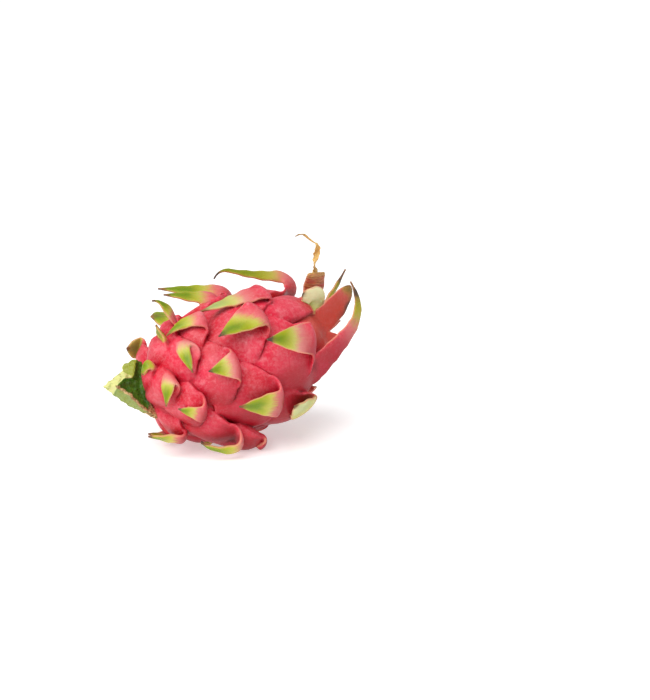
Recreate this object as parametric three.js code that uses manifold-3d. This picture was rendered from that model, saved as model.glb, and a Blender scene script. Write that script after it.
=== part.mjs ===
// A whole dragon fruit (pitaya) lying on its side, with the chip of cactus stem it was cut off with.
// Millimetres, +Z up. The stem end is toward -X, the flower end toward +X and a little higher.
// The body is a smooth turned shape. Its bracts sit on a mirrored golden-angle spiral that climbs
// from the stem end to the flower end in even steps, and every bract is fused into the body.

import * as THREE from 'three';
import { mergeVertices } from 'three/addons/utils/BufferGeometryUtils.js';
import Module from 'manifold-3d';

const wasm = await Module();
wasm.setup();

// ---------- driving dimensions ----------

const STEM_REACH = 63;        // widest ring to the stem pole
const FLOWER_REACH = 64;      // widest ring to the flower pole
const GIRTH_RADIUS = 41;      // radius of the widest ring, under the bracts
const STEM_FULLNESS = 2.7;    // a higher power makes a blunter stem end
const FLOWER_FULLNESS = 2.1;
const FLOWER_TAPER = 0.6;
const SCAR_RADIUS = 8;        // the flower scar, a shallow dish in the flower pole
const SCAR_DEPTH = 3;

const AXIS_LIFT = 12;         // degrees by which the flower end is raised
const CENTRE_HEIGHT = 48;     // centre of the widest ring above the surface it lies on
const BOX_CENTRE = [1, -1.55]; // centre of the whole in plan, which becomes the origin

const BRACT_COUNT = 47;
const GOLDEN_TURN = 137.508;  // degrees between one bract and the next
const FIRST_TURN = 330.62;    // degrees round from the top, toward the front, of bract 0
const FIRST_RUN = 13;         // from the stem pole to bract 0, along the skin
const RUN_STEP = 2.95;        // from one bract to the next, along the skin

const EDGE_THICKNESS = 0.9;   // of a bract at its rim
const FOLD_THICKNESS = 3;     // of a bract where it turns back
const TIP_THICKNESS = 1.4;
const GAP = 0.35;             // kept between touching pieces

const BODY_RINGS = 16;
const BODY_SIDES = 26;
const BRACT_STEPS = { pad: 2, fold: 3, flap: 2 };
const WIDE_CURL = 7;          // a fold at least this wide takes one more step
const BRACT_STRIPS = 4;
const SPINE_SAMPLES = 120;

const FINISH = {
  skin: new THREE.MeshStandardMaterial({ color: 0xd93a5c, roughness: 0.42, metalness: 0 }),
  stem: new THREE.MeshStandardMaterial({ color: 0x4c7a2c, roughness: 0.55, metalness: 0 }),
  withered: new THREE.MeshStandardMaterial({ color: 0xc08a4a, roughness: 0.8, metalness: 0 }),
};

// Lengths in millimetres and angles in degrees, measured along a bract from its root:
//   pad, flap      length before and after the fold
//   fold, curl     angle turned at the fold, and its radius
//   rise, sink     how far the fold stands off the skin and the root is sunk in it
//   width, thick   half width and greatest thickness of the pad
//   arch           how much more the pad curves across than the skin under it
//   point, full    how fast the flap narrows, and how long it stays broad
//   neck, lean     width of the flap as a part of its crest, and where it sits on it, -1 to 1
//   yaw, roll      how far the flap swings sideways and twists
//   rolledBy       how soon past the crest the twist is over, as a part of the usual length
//   bend, hook     further curl along the flap, and in its last third
//   sweep          sideways curve of the whole bract, starting at sweepFrom pads
//   shift, turn    nudge along the axis and round it
const PLAIN_BRACT = {
  pad: 34, width: 17.5, rise: 5.5, sink: 3, thick: 9.5, arch: 0.008, fold: 168, curl: 3.8, flap: 26,
  point: 1, full: 1.8, neck: 1, lean: 0, yaw: 0, roll: 0, rolledBy: 1, bend: 0, hook: 0,
  sweep: 0, sweepFrom: 0.6, shift: 0, turn: 0,
};
const CREST_ARCH = 0.01;      // how much earlier the fold starts toward the edges, per mm squared
const FLAP_DISH = 0.02;       // how much the flap cups across, per mm
const ROOT_DROOP = 8;         // how far the corners of the root are pulled under the skin
const CREST_LIP = 3;          // how far the corners of the crest stand up

// Bracts that grew differently from their neighbours, by number from the stem end.
const GROWN = {
  0: { shift: 3, turn: 59, pad: 20, width: 6.8, rise: 8.5, thick: 11, flap: 5, full: 2.5 },
  1: { shift: 3, turn: -6, pad: 18, width: 11, fold: 150, flap: 14 },
  2: { shift: 1.5, turn: 5, pad: 26, width: 15, rise: 7, thick: 13, flap: 13, full: 2, neck: 0.65,
    lean: -0.4, yaw: -62 },
  3: { turn: -20, pad: 18, width: 10, rise: 3, flap: 3 },
  4: { shift: -2, pad: 22, width: 13, fold: 152, flap: 20 },
  5: { shift: 3, turn: 11, pad: 21, width: 13, rise: 7, thick: 12, fold: 52, curl: 3, flap: 11,
    full: 1.6, neck: 0.8, lean: -0.6 },
  6: { shift: 1, turn: 3, flap: 7 },
  7: { turn: 4, pad: 24, width: 17, rise: 6, thick: 11, flap: 12.5, neck: 0.62, lean: 1, yaw: 24 },
  8: { shift: -6, turn: -3, pad: 20, width: 14, rise: 6, thick: 9, fold: 140, flap: 9, full: 3,
    yaw: -35 },
  9: { pad: 24, width: 14, rise: 0.5, curl: 2.2, flap: 3 },
  10: { shift: -3, turn: 4, pad: 26, width: 17.5, rise: 7, thick: 12, curl: 2.8, flap: 17, full: 2,
    neck: 0.45, lean: -0.9, yaw: -84 },
  12: { shift: -3, turn: 6, pad: 30, width: 16, rise: 6, fold: 175, curl: 7, flap: 20, neck: 0.6,
    lean: 0.9, bend: 42, hook: 35 },
  13: { shift: -8.5, turn: 27, pad: 22, width: 11.5, rise: 9, fold: 60, curl: 6, flap: 21, full: 1,
    roll: 50, bend: 30, hook: 35 },
  15: { shift: -4.5, pad: 30, width: 23, curl: 4.2, flap: 15, full: 1.4, neck: 0.82, lean: -0.3,
    yaw: 6 },
  16: { shift: -9, turn: 26, pad: 24, width: 20, rise: 2.5, fold: 138, flap: 15, full: 5, roll: 55 },
  17: { shift: 2, turn: -10, pad: 32, width: 15, rise: 10.6, thick: 13, fold: 178, curl: 3, flap: 1.5 },
  18: { shift: -16, turn: 9.5, pad: 27, width: 14.5, flap: 22, neck: 0.76, lean: -0.6, yaw: 34,
    sweep: -50, sweepFrom: 1 },
  20: { shift: -2, turn: 1, pad: 37, width: 25, curl: 4.4, flap: 28, neck: 0.7, lean: 0.8, yaw: 20 },
  21: { shift: -2.5, turn: 5, pad: 28, width: 13, rise: 2, fold: 150, curl: 4, flap: 31, roll: 58,
    rolledBy: 0.5 },
  23: { shift: -4.5, turn: -8, width: 24, curl: 5.2, flap: 30, neck: 0.8, lean: -0.8, yaw: -14 },
  25: { shift: 6, turn: -4, width: 21, flap: 26, yaw: 52 },
  26: { shift: 2, turn: 19, pad: 32, width: 16, fold: 179, flap: 43 },
  28: { shift: 0, turn: -6, pad: 43, width: 29, curl: 5.5, flap: 37.5, full: 2.1, neck: 0.64,
    lean: -0.9, yaw: 15 },
  29: { shift: -14, turn: 12, pad: 30, width: 15, fold: 141, curl: 5.5, flap: 41, roll: 72,
    rolledBy: 0.5 },
  30: { pad: 32, width: 15, rise: 1.5, flap: 8 },
  31: { shift: 8, turn: -0.5, pad: 52, width: 13, rise: 6, thick: 11, fold: 176, curl: 6, flap: 9,
    point: 0.6, full: 4, yaw: 10, roll: -90, rolledBy: 0.7, sweep: -20, sweepFrom: 0.4 },
  33: { shift: -8, turn: -14, width: 16, rise: 3.5, fold: 5, curl: 60, flap: 70, full: 1.4, yaw: -21,
    bend: -24, sweep: -80, sweepFrom: 2 },
  34: { shift: -4, pad: 42, width: 15, fold: 181, curl: 9, flap: 45.5, full: 1.4, neck: 0.76, roll: 58,
    rolledBy: 0.35, bend: -15, hook: 85 },
  35: { pad: 26, width: 14, rise: 2, fold: 165, curl: 3, flap: 14 },
  36: { shift: 7, pad: 28, width: 14, fold: 40, curl: 25, flap: 22, point: 0.6, full: 4, sweep: -47,
    sweepFrom: 0.1 },
  38: { shift: -8, pad: 18, width: 11, rise: 1, thick: 5, fold: 5, curl: 40, flap: 3 },
  39: { shift: -2, pad: 24, width: 14.5, fold: 98, curl: 10, flap: 14, point: 0.2, full: 12, roll: 80,
    rolledBy: 0.3 },
  41: { turn: -13, width: 12, rise: 2, flap: 9 },
  42: { pad: 22, width: 8, fold: 70, curl: 18, flap: 30, sweep: 40 },
  44: { shift: -1, width: 13, flap: 13 },
  46: { flap: 4 },
};

// ---------- small helpers ----------

const radians = (degrees) => degrees * Math.PI / 180;
const clamp = (value, low, high) => Math.min(Math.max(value, low), high);

function ease(t) {
  const u = clamp(t, 0, 1);
  return u * u * (3 - 2 * u);
}

// A repeatable draw from -1 to 1 for one bract and one purpose.
function draw(index, purpose) {
  const mixed = ((index * 73 + purpose * 151 + 17) * 9301 + 49297) % 233280;
  return mixed / 116640 - 1;
}

function combine(...terms) {
  const sum = new THREE.Vector3();
  for (const [scale, vector] of terms) {
    sum.addScaledVector(vector, scale);
  }
  return sum;
}

// The fruit's own directions, before it is shifted to the origin.
const lift = radians(AXIS_LIFT);
const ALONG = new THREE.Vector3(Math.cos(lift), 0, Math.sin(lift));
const UPWARD = new THREE.Vector3(-Math.sin(lift), 0, Math.cos(lift));
const FRONT = new THREE.Vector3(0, -1, 0);
const CENTRE = new THREE.Vector3(0, 0, CENTRE_HEIGHT);

// ---------- solids ----------

function toSolid(geometry) {
  const bare = geometry.clone();
  bare.deleteAttribute('normal');
  bare.deleteAttribute('uv');
  const merged = mergeVertices(bare, 1e-4);
  return new wasm.Manifold(new wasm.Mesh({
    numProp: 3,
    vertProperties: new Float32Array(merged.attributes.position.array),
    triVerts: new Uint32Array(merged.index.array),
  }));
}

function toGeometry(solid) {
  const mesh = solid.getMesh();
  const geometry = new THREE.BufferGeometry();
  geometry.setAttribute('position', new THREE.BufferAttribute(mesh.vertProperties, 3));
  geometry.setIndex(new THREE.BufferAttribute(mesh.triVerts, 1));
  geometry.computeVertexNormals();
  return geometry;
}

// The outer body alone, without loose scraps or sealed hollows.
function outermost(solid) {
  return solid.decompose().reduce((a, b) => (a.volume() > b.volume() ? a : b));
}

// ---------- body ----------

function bodyRadius(a) {
  if (a < 0) {
    return GIRTH_RADIUS * Math.sqrt(Math.max(0, 1 - Math.abs(a / STEM_REACH) ** STEM_FULLNESS));
  }
  return GIRTH_RADIUS * Math.max(0, 1 - (a / FLOWER_REACH) ** FLOWER_FULLNESS) ** FLOWER_TAPER;
}

function bodyGeometry() {
  const profile = [new THREE.Vector2(0, -STEM_REACH)];
  for (let ring = 1; ring < BODY_RINGS; ring += 1) {
    const swing = Math.cos(Math.PI * ring / BODY_RINGS);
    const a = -swing * (swing > 0 ? STEM_REACH : FLOWER_REACH);
    if (a < 0 || bodyRadius(a) > SCAR_RADIUS + 1) {
      profile.push(new THREE.Vector2(bodyRadius(a), a));
    }
  }
  profile.push(new THREE.Vector2(SCAR_RADIUS, FLOWER_REACH - 2));
  profile.push(new THREE.Vector2(SCAR_RADIUS - 2, FLOWER_REACH - 2 - SCAR_DEPTH));
  profile.push(new THREE.Vector2(0, FLOWER_REACH - 2 - SCAR_DEPTH));
  const geometry = new THREE.LatheGeometry(profile, BODY_SIDES);
  // The lathe's Y axis becomes the fruit's axis.
  const place = new THREE.Matrix4().makeBasis(FRONT, ALONG, UPWARD);
  place.setPosition(CENTRE);
  return geometry.applyMatrix4(place);
}

// ---------- bract placing ----------

const MERIDIAN = (() => {
  const samples = [{ a: -STEM_REACH, run: 0 }];
  let before = new THREE.Vector2(-STEM_REACH, 0);
  for (let k = 1; k <= 2000; k += 1) {
    const a = -STEM_REACH + (STEM_REACH + FLOWER_REACH) * 0.5 * (1 - Math.cos(Math.PI * k / 2000));
    const here = new THREE.Vector2(a, bodyRadius(a));
    samples.push({ a, run: samples[k - 1].run + here.distanceTo(before) });
    before = here;
  }
  return samples;
})();

function stationOf(index) {
  const run = FIRST_RUN + RUN_STEP * index;
  const next = MERIDIAN.findIndex((sample) => sample.run >= run);
  const [low, high] = [MERIDIAN[next - 1], MERIDIAN[next]];
  return low.a + (high.a - low.a) * (run - low.run) / (high.run - low.run);
}

function turnOf(index) {
  return FIRST_TURN - GOLDEN_TURN * index;
}

// The point of the skin a bract grows from, its directions and the skin's two curvatures there.
function seatOf(index, bract) {
  const a = clamp(stationOf(index) + bract.shift, 1 - STEM_REACH, FLOWER_REACH - 1);
  const turn = radians(turnOf(index) + bract.turn);
  const reach = 0.5;
  const [r0, r1, r2] = [bodyRadius(a - reach), bodyRadius(a), bodyRadius(a + reach)];
  const slope = (r2 - r0) / (2 * reach);
  const curve = (r2 - 2 * r1 + r0) / (reach * reach);
  const steep = Math.sqrt(1 + slope * slope);
  const radial = combine([Math.cos(turn), UPWARD], [Math.sin(turn), FRONT]);
  return {
    origin: combine([1, CENTRE], [a, ALONG], [r1, radial]),
    forward: combine([1, ALONG], [slope, radial]).normalize(),
    side: combine([-Math.sin(turn), UPWARD], [Math.cos(turn), FRONT]),
    outward: combine([1, radial], [-slope, ALONG]).normalize(),
    bendAlong: Math.min(-curve / steep ** 3, 1 / 22),
    bendAcross: Math.min(1 / steep / Math.max(r1, 4), 1 / 18),
  };
}

// The general rule: bracts grow with distance from the stem, are squeezed flat underneath, and
// near the flower they stand up instead of turning back.
function bractOf(index) {
  const grown = Math.min(1, index / 16);
  const round = ((turnOf(index) % 360) + 360) % 360;
  const under = Math.max(0, 1 - Math.abs(round - 180) / 60);
  const bract = {
    ...PLAIN_BRACT,
    pad: 22 + 12 * grown,
    width: 13 + 4.5 * grown,
    flap: (14 + 12 * grown) * (1 + 0.15 * draw(index, 1)),
    rise: (4 + 1.5 * grown) * (1 - 0.6 * under),
    thick: 6.5 + 3 * grown,
    arch: 0.008 + 0.022 * (1 - grown),
    curl: (3 + 0.8 * grown) * (1 - 0.3 * under),
  };
  if (!(index in GROWN)) {
    bract.shift = 1.2 * draw(index, 2);
    bract.turn = 3 * draw(index, 3);
    bract.yaw = 12 * draw(index, 4);
  }
  if (index >= 35) {
    const crown = Math.min(1, (index - 35) / 6);
    bract.pad = 26 - 6 * crown;
    bract.width = 14 - 5 * crown;
    bract.flap = 18 - 8 * crown;
    bract.fold = 60 - 40 * crown;
    bract.curl = 8 + 8 * crown;
    bract.rise = 2.5;
    bract.full = 1.6;
  }
  return { ...bract, ...GROWN[index] };
}

// ---------- bract shape ----------

// Frames at even steps along the middle line of a bract, from its root to its tip.
function spineOf(seat, bract) {
  const foldRun = bract.curl * radians(bract.fold);
  const length = bract.pad + foldRun + bract.flap;
  const step = length / SPINE_SAMPLES;
  const rootAt = -0.5 * bract.pad;
  const climb = Math.asin(Math.min(0.9, (bract.rise + bract.sink) / bract.pad));
  const point = combine([1, seat.origin], [rootAt, seat.forward],
    [-seat.bendAlong * rootAt * rootAt / 2 - bract.sink, seat.outward]);
  const frames = [];
  for (let k = 0; k <= SPINE_SAMPLES; k += 1) {
    const x = k * step;
    const past = x - bract.pad;
    const folded = ease(past / foldRun);
    const onFlap = clamp((past - foldRun) / bract.flap, 0, 1);
    const sweepStart = bract.sweepFrom * bract.pad;
    const sweep = radians(bract.sweep) * ease((x - sweepStart) / (length - sweepStart));
    const forward = combine([Math.cos(sweep), seat.forward], [Math.sin(sweep), seat.side]);
    const side = combine([Math.cos(sweep), seat.side], [-Math.sin(sweep), seat.forward]);
    const yaw = radians(bract.yaw) * folded;
    const yawed = combine([Math.cos(yaw), forward], [Math.sin(yaw), side]);
    const across = combine([Math.cos(yaw), side], [-Math.sin(yaw), forward]);
    const angle = climb - seat.bendAlong * Math.min(rootAt + x, 0.5 * bract.pad)
      + radians(bract.fold) * folded + radians(bract.bend) * onFlap
      + radians(bract.hook) * Math.max(0, onFlap - 0.7) / 0.3;
    const rollRun = bract.rolledBy * (foldRun + 0.3 * bract.flap);
    const roll = radians(bract.roll) * ease(Math.max(0, past) / rollRun);
    const heading = combine([Math.cos(angle), yawed], [Math.sin(angle), seat.outward]);
    const flat = combine([Math.cos(angle), seat.outward], [-Math.sin(angle), yawed]);
    frames.push({
      point: point.clone(),
      across: combine([Math.cos(roll), across], [Math.sin(roll), flat]),
      normal: combine([Math.cos(roll), flat], [-Math.sin(roll), across]),
    });
    point.addScaledVector(heading, step);
  }
  return { frames, length, foldRun, start: seat.forward };
}

function frameAt(spine, x) {
  const place = clamp(x / spine.length, 0, 1) * SPINE_SAMPLES;
  const low = Math.min(Math.floor(place), SPINE_SAMPLES - 1);
  const part = place - low;
  const [a, b] = [spine.frames[low], spine.frames[low + 1]];
  return {
    point: a.point.clone().lerp(b.point, part),
    across: a.across.clone().lerp(b.across, part),
    normal: a.normal.clone().lerp(b.normal, part).normalize(),
  };
}

// Half the width of a bract at x from its root: an oval pad, a neck, then a pointed flap.
function halfWidthAt(x, spine, bract) {
  const oval = (u) => Math.sqrt(Math.max(0.05, 1 - ((u - 0.5) / 0.62) ** 2));
  if (x < bract.pad) {
    return bract.width * oval(x / bract.pad);
  }
  const along = clamp((x - bract.pad) / (spine.length - bract.pad), 0, 1);
  const crest = bract.width * oval(1) * THREE.MathUtils.lerp(1, bract.neck, pastCrest(x, spine, bract));
  return Math.max(0.6, crest * (1 - along ** bract.full) ** bract.point);
}

// How much of the narrowing from crest to flap is behind x.
function pastCrest(x, spine, bract) {
  return ease((x - bract.pad) / (0.8 * spine.foldRun));
}

// Lengths from the root at which a bract's rows of points lie.
function rowsOf(spine, bract) {
  const { pad, flap } = BRACT_STEPS;
  const fold = BRACT_STEPS.fold + (bract.curl >= WIDE_CURL ? 1 : 0);
  const foldEnd = bract.pad + spine.foldRun;
  const rows = [];
  for (let k = 0; k < pad; k += 1) {
    rows.push(bract.pad * k / pad);
  }
  for (let k = 0; k < fold; k += 1) {
    rows.push(bract.pad + spine.foldRun * k / fold);
  }
  for (let k = 0; k <= flap; k += 1) {
    rows.push(foldEnd + bract.flap * k / flap);
  }
  return rows;
}

function bractPoint(spine, bract, seat, x, v, face) {
  const y = v * halfWidthAt(x, spine, bract);
  const early = CREST_ARCH * y * y;
  const run = clamp(x + (x < spine.length ? early : 0), 0, spine.length);
  const frame = frameAt(spine, run);
  const onPad = ease(1 - (run - bract.pad) / spine.foldRun);
  const off = bract.lean * 0.59 * bract.width * (1 - bract.neck) * pastCrest(x, spine, bract);
  const sag = 0.5 * y * y;
  const rooted = 1 - ease((x / bract.pad - 0.15) / 0.55);
  const crested = Math.exp(-(((x / bract.pad - 0.88) / 0.2) ** 2));
  const droop = ROOT_DROOP * rooted * v * v - CREST_LIP * crested * Math.abs(v) ** 5;
  const slim = ease((x - 0.75 * bract.pad) / (0.45 * bract.pad));
  const tipward = clamp((x - bract.pad - spine.foldRun) / bract.flap, 0, 1);
  const full = THREE.MathUtils.lerp(
    THREE.MathUtils.lerp(bract.thick, FOLD_THICKNESS, slim), TIP_THICKNESS, tipward);
  const thickness = EDGE_THICKNESS
    + (full - EDGE_THICKNESS) * Math.sqrt(Math.max(0, 1 - v * v));
  return combine([1, frame.point], [-early, spine.start], [y + off, frame.across],
    [-sag * (seat.bendAcross + bract.arch) * onPad - droop, seat.outward],
    [sag * FLAP_DISH * (1 - onPad) + face * thickness / 2, frame.normal]);
}

function bractGeometry(index) {
  const bract = bractOf(index);
  const seat = seatOf(index, bract);
  const spine = spineOf(seat, bract);
  const rows = rowsOf(spine, bract);
  const last = rows.length - 1;
  const box = new THREE.BoxGeometry(1, 1, 1, last, BRACT_STRIPS, 1);
  const position = box.attributes.position;
  for (let k = 0; k < position.count; k += 1) {
    const row = Math.round((position.getX(k) + 0.5) * last);
    const point = bractPoint(spine, bract, seat, rows[row], -2 * position.getY(k),
      2 * position.getZ(k));
    position.setXYZ(k, point.x, point.y, point.z);
  }
  return box;
}

// ---------- fruit ----------

function floorSolid() {
  return toSolid(new THREE.BoxGeometry(400, 400, 100).translate(0, 0, -50));
}

function buildFruit() {
  let fruit = toSolid(bodyGeometry());
  for (let index = 0; index < BRACT_COUNT; index += 1) {
    fruit = fruit.add(toSolid(bractGeometry(index)));
  }
  return outermost(fruit.subtract(floorSolid()));
}

// ---------- chip of cactus stem ----------

// A point given from the stem pole: out of the fruit, up, and toward the front.
function stemPoint(out, up, front) {
  return combine([1, CENTRE], [-STEM_REACH - out, ALONG], [up, UPWARD], [front, FRONT]);
}

// Sections from the clipped top to the corky foot: base back, base front, rib, outer back.
const CHIP_SECTIONS = [
  [[-4, 22.6, -9], [-3.6, 23.7, -4], [0.3, 26.9, -3], [1, 24.8, -9]],
  [[-3.2, 16.6, -9], [-2.1, 17.7, -2], [7, 19, 4], [10.2, 24.9, -6]],
  [[-2.3, 13.1, -9], [-1.4, 14, 0], [13.3, 21.4, 6], [11.2, 22.4, -4]],
  [[-1.1, 9.9, -8], [-0.4, 10.8, 1], [19.5, 17.2, 5], [26.4, 17.2, -3]],
  [[-0.2, 5.3, -7], [0.3, 7.4, 2], [14.1, 11.1, 9], [20.9, 9.2, -4]],
  [[-0.2, 0.7, -5], [0.6, 2, 4], [10, 3, 10], [13.6, -0.4, -1]],
  [[-1, -5.5, -3], [-0.5, -4.6, 5], [5, -4.4, 9], [7, -6.1, 3]],
  [[-3.1, -10.6, 0], [-4.5, -9.7, 5], [-1.9, -9.9, 8], [0.2, -12.6, 6]],
];

function chipGeometry() {
  const box = new THREE.BoxGeometry(1, 1, 1, 1, 1, CHIP_SECTIONS.length - 1);
  const position = box.attributes.position;
  for (let k = 0; k < position.count; k += 1) {
    const section = Math.round((0.5 - position.getZ(k)) * (CHIP_SECTIONS.length - 1));
    const outer = position.getX(k) > 0;
    const front = position.getY(k) > 0;
    const corner = outer ? (front ? 2 : 3) : (front ? 1 : 0);
    const point = stemPoint(...CHIP_SECTIONS[section][corner]);
    position.setXYZ(k, point.x, point.y, point.z);
  }
  return box;
}

// The chip is cut back by the fruit moved a gap's width each way, so that the two only just clear.
function buildStemChip(fruit) {
  let chip = toSolid(chipGeometry());
  for (const [out, up, front] of [[1, 0, 0], [0, 1, 0], [0, -1, 0], [0, 0, 1], [0, 0, -1]]) {
    const move = combine([-out * GAP, ALONG], [up * GAP, UPWARD], [front * GAP, FRONT]);
    chip = chip.subtract(fruit.translate([move.x, move.y, move.z]));
  }
  return outermost(chip);
}

// ---------- dried ribbon ----------

const RIBBON_PATH = [[-1.4, 0, -2.2], [-1.6, 0.4, -0.6], [-0.7, 0.6, 1], [-1.9, 0, 3.1],
  [-2.3, -0.6, 5.9], [-0.9, 0, 8.5], [0, 0.6, 12.2], [-0.2, 0.6, 15.6], [-1.1, 0, 18],
  [-2.3, -0.5, 19.5], [-4.8, -0.6, 21], [-9, 0, 24.5], [-10.5, 0.4, 25.7], [-13.3, 0.3, 25.9],
  [-16.3, 0, 25.1]];
const RIBBON_WIDTHS = [6.2, 3.8, 1.7, 1.3, 1.7, 2.2, 2.4, 2, 1.3, 0.9, 1.1, 1.1, 0.9, 0.6, 0.3];
const RIBBON_FACING = 18;     // degrees, of the broad side at the root
const RIBBON_TWIST = 3.4;     // quarter turns from one end to the other
const RIBBON_THICKNESS = 1;
const RIBBON_ROWS = 28;

function ribbonGeometry(root) {
  const curve = new THREE.CatmullRomCurve3(RIBBON_PATH.map(([x, y, z]) => new THREE.Vector3(x, y, z)));
  const box = new THREE.BoxGeometry(1, 1, 1, 2, 1, RIBBON_ROWS);
  const position = box.attributes.position;
  for (let k = 0; k < position.count; k += 1) {
    const along = position.getZ(k) + 0.5;
    const slot = along * (RIBBON_WIDTHS.length - 1);
    const low = Math.min(Math.floor(slot), RIBBON_WIDTHS.length - 2);
    const width = THREE.MathUtils.lerp(RIBBON_WIDTHS[low], RIBBON_WIDTHS[low + 1], slot - low);
    const twist = 90 * RIBBON_TWIST * ease((slot - 1) / (RIBBON_WIDTHS.length - 3));
    const angle = radians(RIBBON_FACING + twist);
    const tangent = curve.getTangent(along);
    const flat = new THREE.Vector3(Math.cos(angle), Math.sin(angle), 0);
    const across = flat.addScaledVector(tangent, -flat.dot(tangent)).normalize();
    const normal = tangent.clone().cross(across);
    const point = combine([1, root], [1, curve.getPoint(along)],
      [2 * position.getX(k) * width, across], [position.getY(k) * RIBBON_THICKNESS, normal]);
    position.setXYZ(k, point.x, point.y, point.z);
  }
  return box;
}

function buildDriedRibbon(fruit) {
  const bract = bractOf(39);
  const spine = spineOf(seatOf(39, bract), bract);
  const root = frameAt(spine, spine.length).point;
  const ribbon = toSolid(ribbonGeometry(root));
  const up = fruit.translate([0, 0, GAP]);
  return outermost(ribbon.subtract(fruit).subtract(up));
}

// ---------- scene ----------

function meshOf(name, solid, material) {
  const mesh = new THREE.Mesh(toGeometry(solid), material);
  mesh.name = name;
  return mesh;
}

const fruitSolid = buildFruit();
const dragonFruit = new THREE.Group();
dragonFruit.position.set(-BOX_CENTRE[0], -BOX_CENTRE[1], 0);
dragonFruit.add(meshOf('fruit', fruitSolid, FINISH.skin));

const stemEnd = new THREE.Group();
stemEnd.add(meshOf('stem_chip', buildStemChip(fruitSolid), FINISH.stem));
const flowerEnd = new THREE.Group();
flowerEnd.add(meshOf('dried_ribbon', buildDriedRibbon(fruitSolid), FINISH.withered));
dragonFruit.add(stemEnd, flowerEnd);

export default dragonFruit;
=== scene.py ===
"""A whole dragon fruit lying on its side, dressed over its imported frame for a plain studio."""

import logging
import math
from collections.abc import Iterator
from contextlib import contextmanager
from dataclasses import dataclass, field, replace
from enum import Enum
from typing import Any

import bpy
import numpy as np
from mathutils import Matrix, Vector
from mathutils.bvhtree import BVHTree


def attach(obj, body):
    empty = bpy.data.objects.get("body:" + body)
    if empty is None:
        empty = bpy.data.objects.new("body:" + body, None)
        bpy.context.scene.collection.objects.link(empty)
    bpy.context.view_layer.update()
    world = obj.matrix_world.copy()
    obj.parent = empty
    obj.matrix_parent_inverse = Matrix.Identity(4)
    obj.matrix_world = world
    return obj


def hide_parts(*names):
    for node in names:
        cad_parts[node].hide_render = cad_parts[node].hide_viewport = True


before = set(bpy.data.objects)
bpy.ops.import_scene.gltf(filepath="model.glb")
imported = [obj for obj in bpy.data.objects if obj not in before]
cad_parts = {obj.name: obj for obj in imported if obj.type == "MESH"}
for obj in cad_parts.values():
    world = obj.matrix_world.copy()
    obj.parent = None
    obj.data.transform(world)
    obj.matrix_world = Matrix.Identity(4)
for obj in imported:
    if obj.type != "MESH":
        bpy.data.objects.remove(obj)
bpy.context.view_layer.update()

LOG = logging.getLogger("dragon_fruit")
MM = 0.001
Array = np.ndarray
Piece = bpy.types.Object
Socket = bpy.types.NodeSocket
Colour = tuple[float, float, float, float]


# ---------------------------------------------------------------- small maths


def ease(t: Array | float) -> Array:
    """Rises smoothly from 0 to 1 as t does."""
    u = np.clip(t, 0.0, 1.0)
    return u * u * (3.0 - 2.0 * u)


def bell(t: Array, centre: float | Array, spread: float | Array) -> Array:
    """A smooth hump of height 1 round centre."""
    return np.exp(-(((t - centre) / spread) ** 2))


def blend(a: Array | float, b: Array | float, part: Array | float) -> Array:
    """The value a part of the way from a to b."""
    return a + (b - a) * part


def draw(index: int, purpose: int) -> float:
    """A repeatable draw from -1 to 1 for one bract and one purpose."""
    mixed = ((index * 73 + purpose * 151 + 17) * 9301 + 49297) % 233280
    return mixed / 116640 - 1.0


def paint(red: int, green: int, blue: int) -> Colour:
    """Turns screen values from 0 to 255 into a linear colour."""
    linear = [
        c / 12.92 if c <= 0.04045 else ((c + 0.055) / 1.055) ** 2.4
        for c in (red / 255, green / 255, blue / 255)
    ]
    return (linear[0], linear[1], linear[2], 1.0)


def unit(vectors: Array) -> Array:
    """The same directions with length 1."""
    return vectors / np.linalg.norm(vectors, axis=-1, keepdims=True)


# ---------------------------------------------------------------- mesh work


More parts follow.
